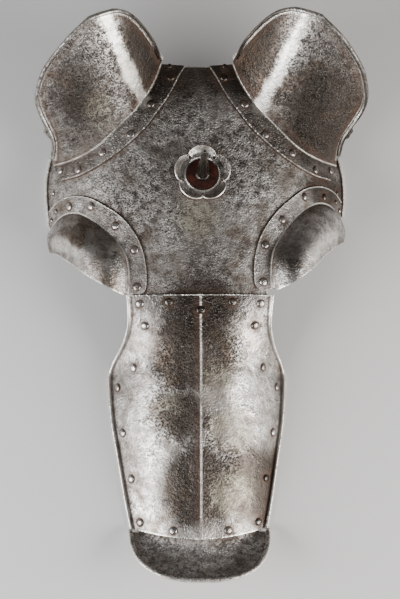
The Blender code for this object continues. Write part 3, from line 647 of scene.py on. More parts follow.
def eye_block(side):
    outside, below = side * OUTSIDE * BROW_HALF_WIDTH, -2 * BROW_OVERLAP
    step = eye_step(side)
    edge = cut_edge(EYE_ROWS, len(EYE_ROWS) - 1, side, step)
    tip = Vector((outside, WING_TIP_BELOW + step(BROW_HALF_WIDTH)))
    return prism([tip, *edge, Vector((edge[-1].x, below)), Vector((outside, below))])


def cut_with(piece, block, name):
    """Cut a block out of a piece. The cutter is given back, to be removed when the cut is real."""
    cutter = bpy.data.objects.new(name, bpy.data.meshes.new(name))
    block.to_mesh(cutter.data)
    block.free()
    cutter.hide_render = True
    bpy.context.scene.collection.objects.link(cutter)
    cut = piece.modifiers.new(name, "BOOLEAN")
    cut.operation = "DIFFERENCE"
    cut.solver = "EXACT"
    cut.object = cutter
    return cutter


def build_brow_plate():
    sheet = thick_sheet(2 * BROW_MIDDLE, BROW_ROWS, brow_outside, brow_inside)
    plate = start_piece("brow_plate_fine", sheet)
    cutters = []
    for side in (-1, 1):
        cutters.append(cut_with(plate, ear_block(side), f"ear_cut_{side_name(side)}"))
        cutters.append(cut_with(plate, eye_block(side), f"eye_cut_{side_name(side)}"))
    join_frame(plate, "plate_steel", "brow_plate")
    for cutter in cutters:
        bpy.data.objects.remove(cutter)


build_brow_plate()

# %% [markdown]
# ## Nasal plate
#
# The long plate has a keel along its middle, and lips along its sides that are raised and turned over
# to keep a blade from sliding to the muzzle. Only the right half is drawn and then mirrored, because
# this plate is the one that the maker kept symmetric.

# %% The nasal plate
NASAL_CELLS = 60
NASAL_ROWS = 140


def nose_edge(share):
    return -NASAL_LENGTH + NASAL_END_ARC * share**2


def nasal_place(column, row):
    """x and y on the plate, its lip's direction, and the number of the point on the lip."""
    share = min(column / NASAL_CELLS, 1.0)
    y = nose_edge(share) * (1 - row / NASAL_ROWS)
    slope = (nasal_half_width(y + STEP) - nasal_half_width(y - STEP)) / (2 * STEP)
    aside = Vector((1.0, -slope, 0.0)).normalized() * NASAL_LIP
    return share * nasal_half_width(y), y, aside, max(column - NASAL_CELLS, 0)


def nasal_outside(column, row):
    x, y, aside, number = nasal_place(column, row)
    point = on_face(x, y, keel_lift(x, y))
    if number:
        out, up = EDGE_PROFILE[number - 1]
        point += aside * out + Vector((0.0, 0.0, NASAL_LIP * up))
    return point


def nasal_inside(column, row):
    x, y, aside, number = nasal_place(column, row)
    point = on_face(x, y, keel_lift(x, y) - PLATE)
    if number:
        point = on_face(x, y, 0.0) - Vector((0.0, 0.0, PLATE)) + aside * EDGE_PROFILE[number - 1][0]
    if column == 0:
        point.x = 0.0
    point.z = max(point.z, 0.0)
    return point


def build_nasal_plate():
    columns = NASAL_CELLS + len(EDGE_PROFILE)
    half = thick_sheet(columns, NASAL_ROWS, nasal_outside, nasal_inside, open_side=True)
    plate = start_piece("nasal_plate_fine", half)
    mirror_halves(plate)
    join_frame(plate, "plate_steel", "nasal_plate")


build_nasal_plate()

# %% [markdown]
# ## Nose plate
#
# The last plate slides under the nasal plate and flares over the nostrils, with the same rolled rim as
# the ear guards. The flare leaves the tongue in the tongue's own direction and arrives at the rim
# standing up, which a Bezier curve with chosen end directions does by itself.

# %% The nose plate
NOSE_HALF_WIDTH = 0.0777
NOSE_SIDE_GAP = 0.0015
NOSE_REACH = 0.0607
NOSE_RISE = 0.0450
NOSE_FOOT = 0.0045  # height of the rim at the sides
NOSE_SQUARE = 0.80  # a power under 1 makes the rim squarer than an ellipse
NOSE_OVERLAP = 0.015
NOSE_TONGUE_WIDTH = 0.96  # share of the nasal plate's width
RIM_OUT, RIM_AHEAD, RIM_AHEAD_MORE, RIM_UP = 0.5, 0.6, 0.1, 0.8  # how the flare arrives at the rim
NOSE_CELLS = 44
TONGUE_CUTS = 8
FLARE_CUTS = 24


def tongue_point(share, y):
    x = share * NOSE_TONGUE_WIDTH * nasal_half_width(y)
    return on_face(x, y, keel_lift(x, y) - LAYER)


def bezier(points, t):
    a, b, c, d = points
    s = 1 - t
    return a * s**3 + b * (3 * s * s * t) + c * (3 * s * t * t) + d * t**3


def nose_shape(share, place):
    share = min(max(share, 0.0), 1.0)
    under = nose_edge(share) - PLATE
    if place <= 1:
        return tongue_point(share, under + NOSE_OVERLAP * (1 - place))
    start = tongue_point(share, under)
    turn = math.radians(90 * share)
    sideways = math.sin(turn) ** NOSE_SQUARE
    forward = math.cos(turn) ** NOSE_SQUARE if share < 1 else 0.0
    rim_y = nose_edge(1.0) - NOSE_SIDE_GAP - NOSE_REACH * forward
    rim = Vector((NOSE_HALF_WIDTH * sideways, rim_y, NOSE_FOOT + NOSE_RISE * forward))
    reach = (rim - start).length / 3
    leave = (start - tongue_point(share, under + NOSE_OVERLAP / 2)).normalized()
    ahead = -RIM_AHEAD * math.cos(turn) - RIM_AHEAD_MORE
    arrive = Vector((RIM_OUT * math.sin(turn), ahead, RIM_UP)).normalized()
    flare = bezier((start, start + leave * reach, rim - arrive * reach, rim), place - 1)
    ridge = KEEL_HEIGHT * max(1 - abs(flare.x) / KEEL_HALF_WIDTH, 0.0) ** KEEL_SHARP
    return flare + Vector((0.0, 0.0, ridge * smooth_step(2 * (place - 1))))


def nose_point(column, row):
    share = column / NOSE_CELLS
    if row <= TONGUE_CUTS:
        return nose_shape(share, row / TONGUE_CUTS)
    if row <= TONGUE_CUTS + FLARE_CUTS:
        return nose_shape(share, 1 + (row - TONGUE_CUTS) / FLARE_CUTS)
    part = (row - TONGUE_CUTS - FLARE_CUTS) / ROLL_CUTS
    point = rolled(nose_shape, share, ROLL_TURN * part, hand=-1)
    if column == 0:
        point.x = 0.0
    return point


def build_nose_plate():
    sheet = grid_sheet(NOSE_CELLS, TONGUE_CUTS + FLARE_CUTS + ROLL_CUTS, nose_point, flip=True)
    plate = start_piece("nose_plate_fine", sheet)
    mirror_halves(plate)
    thicken(plate)
    join_frame(plate, "plate_steel", "nose_plate")


build_nose_plate()

# %% [markdown]
# ## Where the rivets sit
#
# Rivets hold the guards on the brow plate, join the three long plates, and once held a lining. Their
# places are rows of shares, as the patterns are, so that they stay on the metal when a size changes.
# Each row holds a place across, a place along and the radius of the head.

# %% Places of the rivets
RIVET_HEAD = 0.0043
RIVET_SHANK = 0.0019
SMALL_HEAD = 0.0026
SMALL_SHANK = 0.0012
RIVET_TAIL = 0.0008
SEAT_SAMPLES = 8
EAR_RIVETS = (
    (0.183, 0.999, SMALL_HEAD), (0.177, 0.948, RIVET_HEAD), (0.312, 0.828, RIVET_HEAD),
    (0.448, 0.696, RIVET_HEAD), (0.633, 0.626, RIVET_HEAD), (0.795, 0.566, RIVET_HEAD),
    (0.909, 0.580, RIVET_HEAD),
)
EYE_RIVETS = (
    (0.968, 0.393, SMALL_HEAD), (0.940, 0.426, SMALL_HEAD), (0.856, 0.434, RIVET_HEAD),
    (0.712, 0.418, RIVET_HEAD), (0.554, 0.314, RIVET_HEAD), (0.432, 0.203, RIVET_HEAD),
    (0.417, 0.045, RIVET_HEAD),
)
WING_RIVETS = ((0.966, 0.490, SMALL_HEAD),)
JOINT_RIVETS = ((0.713, 0.035, RIVET_HEAD), (0.374, 0.030, RIVET_HEAD))
KEEL_RIVET = (0.0, 0.064, 0.0049)
LINING_RIVETS = (
    (0.648, 0.121, RIVET_HEAD), (0.768, 0.280, RIVET_HEAD), (0.948, 0.353, RIVET_HEAD),
    (0.894, 0.544, RIVET_HEAD), (0.798, 0.737, RIVET_HEAD),
)
NOSE_RIVETS = ((0.700, 0.920, RIVET_HEAD), (0.322, 0.962, RIVET_HEAD))


def seat_on(x, y, lift, radius):
    """Where a round piece sits: clear of the sheet all round its foot, its axis square to it."""
    axis = face_normal(x, y)
    middle = on_face(x, y, lift(x, y))
    rise = 0.0
    for number in range(SEAT_SAMPLES):
        turn = 2 * math.pi * number / SEAT_SAMPLES
        beside_x = x + radius * math.cos(turn)
        beside_y = y + radius * math.sin(turn)
        beside = on_face(beside_x, beside_y, lift(beside_x, beside_y))
        rise = max(rise, (beside - middle).dot(axis))
    along = axis.cross(Vector((1.0, 0.0, 0.0))).normalized()
    turned = Matrix((along.cross(axis), along, axis)).transposed().to_4x4()
    return Matrix.Translation(middle + axis * (rise + SEAT_GAP)) @ turned


print("a middle joint rivet sits at x =", round(JOINT_RIVETS[1][0] * NASAL_HALF_WIDTH * 1000, 1), "mm")

# %% [markdown]
# ## The heads of the rivets
#
# Each rivet was peened by hand, so no two heads are the same. A head is a profile turned round its
# axis, and a seeded random number tips it and presses it a little. Five of them have a small dot
# punched in the middle. The rivets of one row are joined in one piece, because they are one kind of
# part with one finish.

# %% Turn a head
RIVET_SIDES = 28
HEAD_RISE = 0.46  # share of the head's radius
HEAD_ROUND = 0.9  # a power under 1 makes the dome fuller than a ball
DOME_CUTS = 8
HEAD_SKIRT = 0.0001
DOT_PROFILE = ((0.0, 0.55), (0.16, 0.58), (0.25, 0.97))  # shares of the head's radius and of its rise
SAME_POINT = 0.00001


def rivet_profile(head, depth, dotted):
    """Radius and height of each corner, from the top of the head to the end of the shank."""
    shank = RIVET_SHANK if head >= RIVET_HEAD else SMALL_SHANK
    top = HEAD_RISE * head
    dome = []
    for step in range(1, DOME_CUTS + 1):
        turn = math.pi / 2 * step / DOME_CUTS
        dome.append((head * math.sin(turn) ** HEAD_ROUND, top * math.cos(turn) + HEAD_SKIRT))
    middle = [(0.0, top)]
    if dotted:
        middle = [(radius * head, height * top) for radius, height in DOT_PROFILE]
        dome = dome[2:]
    return [*middle, *dome, (head, -SEAT_GAP), (shank, -SEAT_GAP), (shank, -depth), (0.0, -depth)]


def turned_shape(points, sides):
    shape = bmesh.new()
    row = [shape.verts.new((radius, 0.0, height)) for radius, height in points]
    for first, second in zip(row, row[1:]):
        shape.edges.new((first, second))
    geometry = shape.verts[:] + shape.edges[:]
    bmesh.ops.spin(shape, geom=geometry, angle=2 * math.pi, steps=sides, axis=(0, 0, 1), cent=(0, 0, 0))
    bmesh.ops.remove_doubles(shape, verts=shape.verts, dist=SAME_POINT)
    bmesh.ops.recalc_face_normals(shape, faces=shape.faces)
    return shape


def add_shape(whole, part):
    """Put a part into a whole, as one more loose shell of the same piece."""
    spare = bpy.data.meshes.new("spare")
    part.to_mesh(spare)
    part.free()
    whole.from_mesh(spare)
    bpy.data.meshes.remove(spare)


print("a plain head has", len(rivet_profile(RIVET_HEAD, LAYER, False)), "corners in its profile")

# %% [markdown]
# ## Setting the rivets
#
# A rivet stands square to the sheet under it. The seat is worked out on the right side. For the left
# side it is reflected, and its place is tucked in as the left wing is.

# %% Set the rows
TIPPED = 0.035  # radians, the spread of the lean
PRESSED = (0.93, 0.85)  # the most that a head is pressed narrow, and pressed low
BROW_SIZE = (BROW_HALF_WIDTH, BROW_LENGTH)
NASAL_SIZE = (NASAL_HALF_WIDTH, -NASAL_LENGTH)
REFLECT = Matrix.Diagonal((-1.0, 1.0, 1.0, 1.0))
chance = np.random.default_rng(1560)
rivet_places = []


def by_hand():
    """A small lean and a small dent, different for each rivet."""
    lean_x = Matrix.Rotation(chance.normal(0.0, TIPPED), 4, "X")
    lean_y = Matrix.Rotation(chance.normal(0.0, TIPPED), 4, "Y")
    narrow, low = PRESSED
    press = Matrix.Diagonal((1.0, chance.uniform(narrow, 1.0), chance.uniform(low, 1.0), 1.0))
    return lean_x @ lean_y, press


def rivet_seat(side, across, along, lift, head, step):
    seat = seat_on(across, along, lift, head)
    if step:
        seat.translation.y += step(side)(across)
    if side < 0:
        spot = to_side(side, seat.translation)
        seat = REFLECT @ seat @ REFLECT
        seat.translation = spot
    return seat


def rivet_row(kind, table, size, lift, plates, sides=(-1, 1), step=None, dotted=()):
    """One piece for each side. The numbers in dotted are those of the rivets with a dot."""
    depth = SEAT_GAP + plates * LAYER + RIVET_TAIL
    for side in sides:
        row_shape = bmesh.new()
        nodes = []
        for number, (across, along, head) in enumerate(table, start=1):
            seat = rivet_seat(side, across * size[0], along * size[1], lift, head, step)
            lean, press = by_hand()
            one = turned_shape(rivet_profile(head, depth, number in dotted), RIVET_SIDES)
            one.transform(seat @ lean @ press)
            add_shape(row_shape, one)
            nodes.append(f"{kind}_{side_name(side)}_{number}" if len(sides) > 1 else kind)
            rivet_places.append((HERE + seat.translation, head))
        ending = f"s_{side_name(side)}" if len(sides) > 1 else ""
        join_frame(start_piece(f"{kind}{ending}_fine", row_shape), "rivet_steel", *nodes)


NASAL_SIZE = (NASAL_HALF_WIDTH, -NASAL_LENGTH)
rivet_row("ear_rivet", EAR_RIVETS, BROW_SIZE, flange_lift, 2)
rivet_row("eye_rivet", EYE_RIVETS, BROW_SIZE, flange_lift, 2, step=eye_step, dotted=(7,))
rivet_row("wing_rivet", WING_RIVETS, BROW_SIZE, brow_lift, 1)
rivet_row("joint_rivet", JOINT_RIVETS, NASAL_SIZE, keel_lift, 2, dotted=(2,))
rivet_row("keel_rivet", (KEEL_RIVET,), NASAL_SIZE, keel_lift, 2, sides=(1,), dotted=(1,))
rivet_row("lining_rivet", LINING_RIVETS, NASAL_SIZE, keel_lift, 1)
rivet_row("nose_rivet", NOSE_RIVETS, NASAL_SIZE, keel_lift, 2)
print("rivets set:", len(rivet_places))

# %% [markdown]
# ## Rosette
#
# The rosette is one sheet with five cupped petals round a thin ring, which holds a red-brown disc. It
# lies on the brow plate and leans as the plate does there, so its seat is measured on that surface. A
# place typed in by eye would leave it floating on one side.

# %% Sizes and seat of the rosette
ROSETTE_RADIUS = 0.031
ROSETTE_SHEET = 0.0012
ROSETTE_RIGHT = 0.003
ROSETTE_UP = 0.1333
PETALS = 5
PETAL_ROUND = 0.45
NOTCH = 0.78  # share of the radius that is left between two petals
ROSETTE_CUP = 0.006
CUP_CURVE = 1.7
CUP_ROUND = 0.6
NOTCH_CUP = 0.35  # share of the cup's height that is left between two petals
DISH_DEPTH = 0.0012
DISH_REACH = 1.35
RING_RADIUS = 0.0190
RING_WIDTH = 0.0015
RING_HEIGHT = 0.0016
RING_SHARE = 0.42  # share of the grid's rows inside the petals
STEM_HOLE = 0.0033
KEYHOLE_OUT = 0.0230
KEYHOLE_RADIUS = 0.0018
KEYHOLE_SIDES = 20
ROSETTE_TURNS = 240
ROSETTE_ROWS = 44
rosette_seat = seat_on(ROSETTE_RIGHT, ROSETTE_UP, brow_lift, ROSETTE_RADIUS)
print("the rosette sits at", [round(v, 4) for v in rosette_seat.translation])

# %% [markdown]
# ## Petals, ring and keyholes
#
# The petals are drawn as a radius that changes with the angle, so that the notches between them come
# out sharp and the cups stay round. Sculpting could also raise them, but a formula keeps all five
# alike. A small keyhole at the root of each notch is drilled afterwards, with a boolean.

# %% Shape and build the rosette


def petal_swing(angle):
    return abs(math.cos(PETALS / 2 * (angle - math.pi / 2)))


def petal_radius(angle):
    return ROSETTE_RADIUS * (NOTCH + (1 - NOTCH) * petal_swing(angle) ** PETAL_ROUND)


def round_about(radius, angle, height):
    return Vector((radius * math.cos(angle), radius * math.sin(angle), height))


def rosette_point(column, row):
    angle = 2 * math.pi * column / ROSETTE_TURNS
    foot = RING_RADIUS + RING_WIDTH
    share = row / ROSETTE_ROWS
    if share < RING_SHARE:
        radius = STEM_HOLE + (foot - STEM_HOLE) * share / RING_SHARE
        beside = max(1 - abs(radius - RING_RADIUS) / RING_WIDTH, 0.0)
        height = RING_HEIGHT * smooth_step(beside)
    else:
        out = (share - RING_SHARE) / (1 - RING_SHARE)
        swing = petal_swing(angle)
        radius = foot + (petal_radius(angle) - foot) * out
        cup = ROSETTE_CUP * out**CUP_CURVE * (NOTCH_CUP + (1 - NOTCH_CUP) * swing**CUP_ROUND)
        dish = DISH_DEPTH * math.sin(math.pi * min(out * DISH_REACH, 1.0)) * swing
        height = max(cup - dish, 0.0)
    return round_about(radius, angle, ROSETTE_SHEET + height)


def keyhole_drills():
    drills = bmesh.new()
    for petal in range(PETALS):
        spot = round_about(KEYHOLE_OUT, 2 * math.pi * (petal + 0.5) / PETALS + math.pi / 2, 0.0)
        bmesh.ops.create_cone(
            drills, cap_ends=True, segments=KEYHOLE_SIDES, radius1=KEYHOLE_RADIUS, radius2=KEYHOLE_RADIUS,
            depth=8 * ROSETTE_CUP, matrix=rosette_seat @ Matrix.Translation(spot),
        )
    return drills


def build_rosette():
    sheet = grid_sheet(ROSETTE_TURNS, ROSETTE_ROWS, rosette_point, flip=True)
    bmesh.ops.remove_doubles(sheet, verts=sheet.verts, dist=SAME_POINT)
    rosette = start_piece("rosette_fine", sheet)
    thicken(rosette, ROSETTE_SHEET)
    rosette.matrix_world = rosette_seat
    holes = cut_with(rosette, keyhole_drills(), "keyholes")
    join_frame(rosette, "rosette_steel", "rosette")
    bpy.data.objects.remove(holes)


build_rosette()

# %% [markdown]
# ## Disc
#
# The disc is a washer that fills the ring. It is the same all round, so a short outline is turned about
# its axis. A cylinder with a hole would do too, but its top would be flat and its edge sharp.

# %% The disc in the ring
DISC_THICKNESS = 0.001
DISC_SWELL = 1.1
DISC_EDGE = 0.0006
DISC_SIDES = 64


def build_disc():
    edge = RING_RADIUS - RING_WIDTH - SEAT_GAP
    points = [
        (STEM_HOLE, 0.0), (STEM_HOLE, DISC_THICKNESS), (edge * 0.6, DISC_THICKNESS * DISC_SWELL),
        (edge - DISC_EDGE, DISC_THICKNESS), (edge, DISC_THICKNESS * 0.6), (edge, 0.0), (STEM_HOLE, 0.0),
    ]
    disc = start_piece("rosette_disc_fine", turned_shape(points, DISC_SIDES))
    disc.matrix_world = rosette_seat @ Matrix.Translation((0.0, 0.0, ROSETTE_SHEET + SEAT_GAP))
    join_frame(disc, "disc_leather", "rosette_disc")


build_disc()

# %% [markdown]
# ## Spike
#
# On the disc stands a fluted spike with a collar, leaning to the poll and a little to the left. The
# spike is a grid that is wound round an axis, and its flutes are a wave in its radius. It could also be
# cut with blocks, but a wave lets the flutes die out softly at both ends. The last rows of the grid
# turn down into the small hole in the blunt tip.

# %% The spike
SPIKE_RADIUS = 0.0074
SPIKE_LENGTH = 0.066
SPIKE_LEAN = 7.3  # degrees to the poll
SPIKE_ASIDE = 2.2  # degrees to the left
SPIKE_TIP_RADIUS = 0.0024
SPIKE_COLLAR = 0.004
COLLAR_RADIUS = 0.0089
COLLAR_SIDES = 48
STEM_RADIUS = 0.003
FLUTES = 6
FLUTE_DEPTH = 0.26
FLUTE_NARROW = 1.5
FLUTE_FADES = (8, 12)  # how fast a flute begins at the foot and ends at the tip
TIP_HOLE = 0.0012
TIP_HOLE_DEPTH = 0.004
TIP_ROWS = ((1.0, 0.0), (0.9, 1.0), (0.0, 1.0))  # shares of the hole's radius and of its depth
SPIKE_TURNS = 72
SPIKE_ROWS = 48


def spike_point(column, row):
    angle = 2 * math.pi * column / SPIKE_TURNS
    share = min(row / SPIKE_ROWS, 1.0)
    foot = SPIKE_COLLAR * 0.5
    if row > SPIKE_ROWS:
        wide, deep = TIP_ROWS[row - SPIKE_ROWS - 1]
        return round_about(TIP_HOLE * wide, angle, foot + SPIKE_LENGTH - TIP_HOLE_DEPTH * deep)
    groove = FLUTE_DEPTH * (0.5 + 0.5 * math.cos(FLUTES * (angle + math.pi / 2))) ** FLUTE_NARROW
    groove *= smooth_step(share * FLUTE_FADES[0]) * smooth_step((1 - share) * FLUTE_FADES[1])
    radius = SPIKE_RADIUS + (SPIKE_TIP_RADIUS - SPIKE_RADIUS) * share
    return round_about(radius * (1 - groove), angle, foot + SPIKE_LENGTH * share)


def build_spike():
    to_poll = Matrix.Rotation(math.radians(-SPIKE_LEAN), 4, "X")
    to_left = Matrix.Rotation(math.radians(-SPIKE_ASIDE), 4, "Y")
    horn = grid_sheet(SPIKE_TURNS, SPIKE_ROWS + len(TIP_ROWS), spike_point, flip=True)
    bmesh.ops.remove_doubles(horn, verts=horn.verts, dist=SAME_POINT)
    bmesh.ops.holes_fill(horn, edges=horn.edges)
    bmesh.ops.recalc_face_normals(horn, faces=horn.faces)
    horn.transform(to_poll @ to_left)
    foot = 2 * SEAT_GAP + ROSETTE_SHEET + DISC_THICKNESS
    stem_end = -foot - LAYER - RIVET_TAIL
    collar = [
        (0.0, SPIKE_COLLAR), (SPIKE_RADIUS * 0.95, SPIKE_COLLAR),
        (SPIKE_RADIUS * 1.03, SPIKE_COLLAR * 0.8),
        (COLLAR_RADIUS, SPIKE_COLLAR * 0.2), (COLLAR_RADIUS, 0.0), (STEM_RADIUS, 0.0),
        (STEM_RADIUS, stem_end), (0.0, stem_end),
    ]
    add_shape(horn, turned_shape(collar, COLLAR_SIDES))
    spike = start_piece("spike_fine", horn)
    spike.matrix_world = rosette_seat @ Matrix.Translation((0.0, 0.0, foot))
    join_frame(spike, "spike_steel", "spike")


build_spike()

# %% [markdown]
# ## Where steel is polished, where rust sits and where shade is painted
#
# Hands and cloths polish what stands out: borders, ridges, rolled rims. Damp and rust stay where two
# plates meet, beside a crease, in the root of a lip and round the rivets, and these dark lines are
# partly painted shade, where shadow falls. A shader can't know these places, but the lines are known
# from the patterns. So every point of a piece gets its distance in millimetres to the nearest line of
# each sort, and the shader turns it into a thin or wide band.

# %% Distances to lines
FAR = 30.0
TO_MM = 1000.0
SHARP_FOR_WEAR = math.radians(35)


def points_tree(places):
    tree = kdtree.KDTree(len(places))
    for number, place in enumerate(places):
        tree.insert(place, number)
    tree.balance()
    return tree


def distances(mesh, places, shift=0.0):
    """Millimetres from each point to the nearest place, less a shift, and FAR where there is none."""
    if not places:
        return np.full(len(mesh.vertices), FAR)
    tree = points_tree(places)
    return np.array([min(abs(tree.find(point.co)[2] * TO_MM - shift), FAR) for point in mesh.vertices])


def sharp_places(mesh):
    """Points along the edges that bulge sharply, which a file and many hands have touched."""
    shape = bmesh.new()
    shape.from_mesh(mesh)
    places = []
    for edge in shape.edges:
        if edge.calc_face_angle_signed(0.0) > SHARP_FOR_WEAR:
            first, last = edge.verts[0].co, edge.verts[1].co
            places += [first.lerp(last, share / 4) for share in range(5)]
    shape.free()
    return places


def on_both_sides(spots):
    return [HERE + Vector((side * spot.x, spot.y, spot.z)) for spot in spots for side in (-1, 1)]


def shares(count):
    return [number / count for number in range(count + 1)]


print("distances are written in millimetres, up to", FAR)

# %% [markdown]
# ## Lines of the guards
#
# The border, the crease and the rim are lines on each guard's own face, so they are read from the same
# function that shaped it. One more line runs along each guard's ridge, where a highlight is painted
# into the steel as a long pale stripe. On the brow plate the distance has a sign: it is above nothing
# where the plate is seen, and below nothing under a guard. Just outside each flange it gives a painted
# contact shadow on the brow plate.

# %% Lines of the guards
EAR_GROOVE = 5.4  # millimetres from the rim to the groove beside its roll
BEAD_REACH = 4.6
BEAD_TOP = 2.2
CREASE_INSIDE = 1.045
CREASE_OUTSIDE = 0.985
# The painted highlight: a pale, clean stripe painted along the ridge of each guard.
HIGHLIGHT_EAR = {-1: (3.40, 3.95), 1: (3.95, 4.15)}  # sections of the ridge at the crease and at the rim
HIGHLIGHT_EYE = {-1: (1.5, 4.6), 1: (2.6, 5.6)}  # sections where the ridge starts and ends
RIDGE_PLACE = 1.72  # where it is between the crease and the rim


def line_on(shape, side, place, last, samples=24):
    """Points of a guard's line: 0 is the flange's border, 1 the crease and 2 the rim."""
    return [HERE + to_side(side, shape(last * share, place)) for share in shares(last * samples)]


def beside_roll(mesh, rim):
    """Distance from the groove beside a rolled rim. The roll itself counts as far away."""
    away = distances(mesh, rim)
    return np.where(away < BEAD_REACH, FAR, abs(away - EAR_GROOVE))


def highlight_line(piece, samples=60):
    """A stripe along the ridge of a guard, where a highlight is painted into the steel."""
    shape, side, _ = GUARDS[piece.name]
    is_ear = piece.name.startswith("ear")
    first, last = HIGHLIGHT_EAR[side] if is_ear else HIGHLIGHT_EYE[side]
    places = []
    for share in shares(samples):
        spot = shape(first + (last - first) * share, 1 + share if is_ear else RIDGE_PLACE)
        places.append(HERE + to_side(side, spot))
    return places


def guard_lines(piece):
    """Distances for wear, and for rust with painted shade, on a guard."""
    shape, side, last = GUARDS[piece.name]
    mesh = piece.data
    bright = distances(mesh, line_on(shape, side, 0, last) + line_on(shape, side, CREASE_OUTSIDE, last))
    # Rust with painted shade on the wall beside the crease and in the groove beside the roll.
    dirty = distances(mesh, line_on(shape, side, CREASE_INSIDE, last))
    rim = line_on(shape, side, 2, last)
    if piece.name.startswith("ear"):
        bright = np.minimum(bright, distances(mesh, rim, BEAD_TOP))
        return bright, np.minimum(dirty, beside_roll(mesh, rim))
    return np.minimum(bright, distances(mesh, rim)), dirty


def beyond_flanges(mesh):
    """Signed distance on the brow plate: above 0 where it is seen, below 0 under the other plates."""
    nearest = np.array([(point.co.y - HERE.y) * TO_MM for point in mesh.vertices])
    for shape, side, last in GUARDS.values():
        places = line_on(shape, side, 0, last)
        inward = [to_crease - place for place, to_crease in zip(places, line_on(shape, side, 1, last))]
        tree = points_tree(places)
        for number, point in enumerate(mesh.vertices):
            place, at, away = tree.find(point.co)
            if at in (0, len(places) - 1):
                nearest[number] = min(nearest[number], away * TO_MM)
            elif away * TO_MM < FAR:
                along = (places[at + 1] - places[at - 1]).normalized()
                into = (inward[at] - along * inward[at].dot(along)).normalized()
                nearest[number] = min(nearest[number], -(point.co - place).dot(into) * TO_MM)
    return np.clip(nearest, -FAR, FAR)


print("guards with lines:", ", ".join(GUARDS))

# %% [markdown]
# ## Lines of the long plates
#
# The long plates shine along the crest of their turned edges and on the keel. Rust with painted shade
# sits in the root of each edge and where the next plate lies on them, and painted shade runs beside the
# keel. These lines are columns of the same grids, so they are asked from the functions that placed the
# grids.

# %% Lines of the long plates
LIP_CREST = 6  # the point of the turned edge that stands highest
CREST_WIDTH = 0.6  # a share under 1 makes the bright line wider
LIP_RUST_AND_SHADE_FROM = 0.7
# Painted shade runs along the left side of the keel.
KEEL_SHADE_FROM = 1.5
KEEL_SHADE = 0.0030
UNDER_FLANGE = -1.0


def nasal_line(column, samples=500):
    return on_both_sides([nasal_outside(column, NASAL_ROWS * share) for share in shares(samples)])


def keel_shade(samples=500):
    rows = [-NASAL_LENGTH * share for share in shares(samples)]
    return [HERE + on_face(-KEEL_SHADE, y, keel_lift(KEEL_SHADE, y)) for y in rows]


def wing_line(number, samples=300):
    """Points along both wings, at the root of the turned edge or at a point of its profile."""
    places = []
    for column in (BROW_MIDDLE - BROW_CELLS - number, BROW_MIDDLE + BROW_CELLS + number):
        places += [HERE + brow_outside(column, BROW_ROWS * share) for share in shares(samples)]
    return places


def rosette_ring(mesh):
    """Millimetres outside the rosette's outline, and 0 under it."""
    back = (Matrix.Translation(HERE) @ rosette_seat).inverted()
    ring = []
    for point in mesh.vertices:
        spot = back @ point.co
        away = math.hypot(spot.x, spot.y) - petal_radius(math.atan2(spot.y, spot.x))
        ring.append(min(max(away * TO_MM, 0.0), FAR) if abs(spot.z) < ROSETTE_RADIUS else FAR)
    return np.array(ring)


def nose_joint_line(samples=300):
    spots = []
    for share in shares(samples):
        y = nose_edge(share)
        x = share * nasal_half_width(y)
        spots.append(on_face(x, y, keel_lift(x, y) - LAYER))
    return on_both_sides(spots)


def nose_rim_line(samples=200):
    return on_both_sides([nose_shape(share, 2.0) for share in shares(samples)])


def long_plate_lines(piece):
    """Distances for wear, and for rust with painted shade, on the brow, nasal or nose plate."""
    mesh = piece.data
    bright = distances(mesh, sharp_places(mesh))
    if piece.name.startswith("brow"):
        # Rust with painted shade in the root of each wing's turned edge, a painted contact shadow along the
        # joint and just outside each flange, and a painted shadow round the rosette.
        roots = distances(mesh, wing_line(0)) + LIP_RUST_AND_SHADE_FROM
        dirty = np.minimum(np.maximum(beyond_flanges(mesh), UNDER_FLANGE), roots)
        bright = np.minimum(bright, distances(mesh, wing_line(LIP_CREST)))
        return bright, np.minimum(dirty, rosette_ring(mesh))
    if piece.name.startswith("nasal"):
        crest = distances(mesh, nasal_line(NASAL_CELLS + LIP_CREST)) * CREST_WIDTH
        bright = np.minimum(bright, np.minimum(crest, distances(mesh, nasal_line(0))))
        # Rust with painted shade in the root of each lip, and painted shade along the left side of the
        # keel.
        roots = distances(mesh, nasal_line(NASAL_CELLS)) + LIP_RUST_AND_SHADE_FROM
        return bright, np.minimum(roots, distances(mesh, keel_shade()) + KEEL_SHADE_FROM)
    rim = nose_rim_line()
    bright = np.minimum(bright, distances(mesh, rim, BEAD_TOP))
    # A painted shadow where the edge of the nasal plate lies on the nose plate, and rust with painted shade
    # in the groove beside the roll.
    return bright, np.minimum(distances(mesh, nose_joint_line()), beside_roll(mesh, rim))


print("keel shade", KEEL_SHADE * TO_MM, "mm beside the keel")
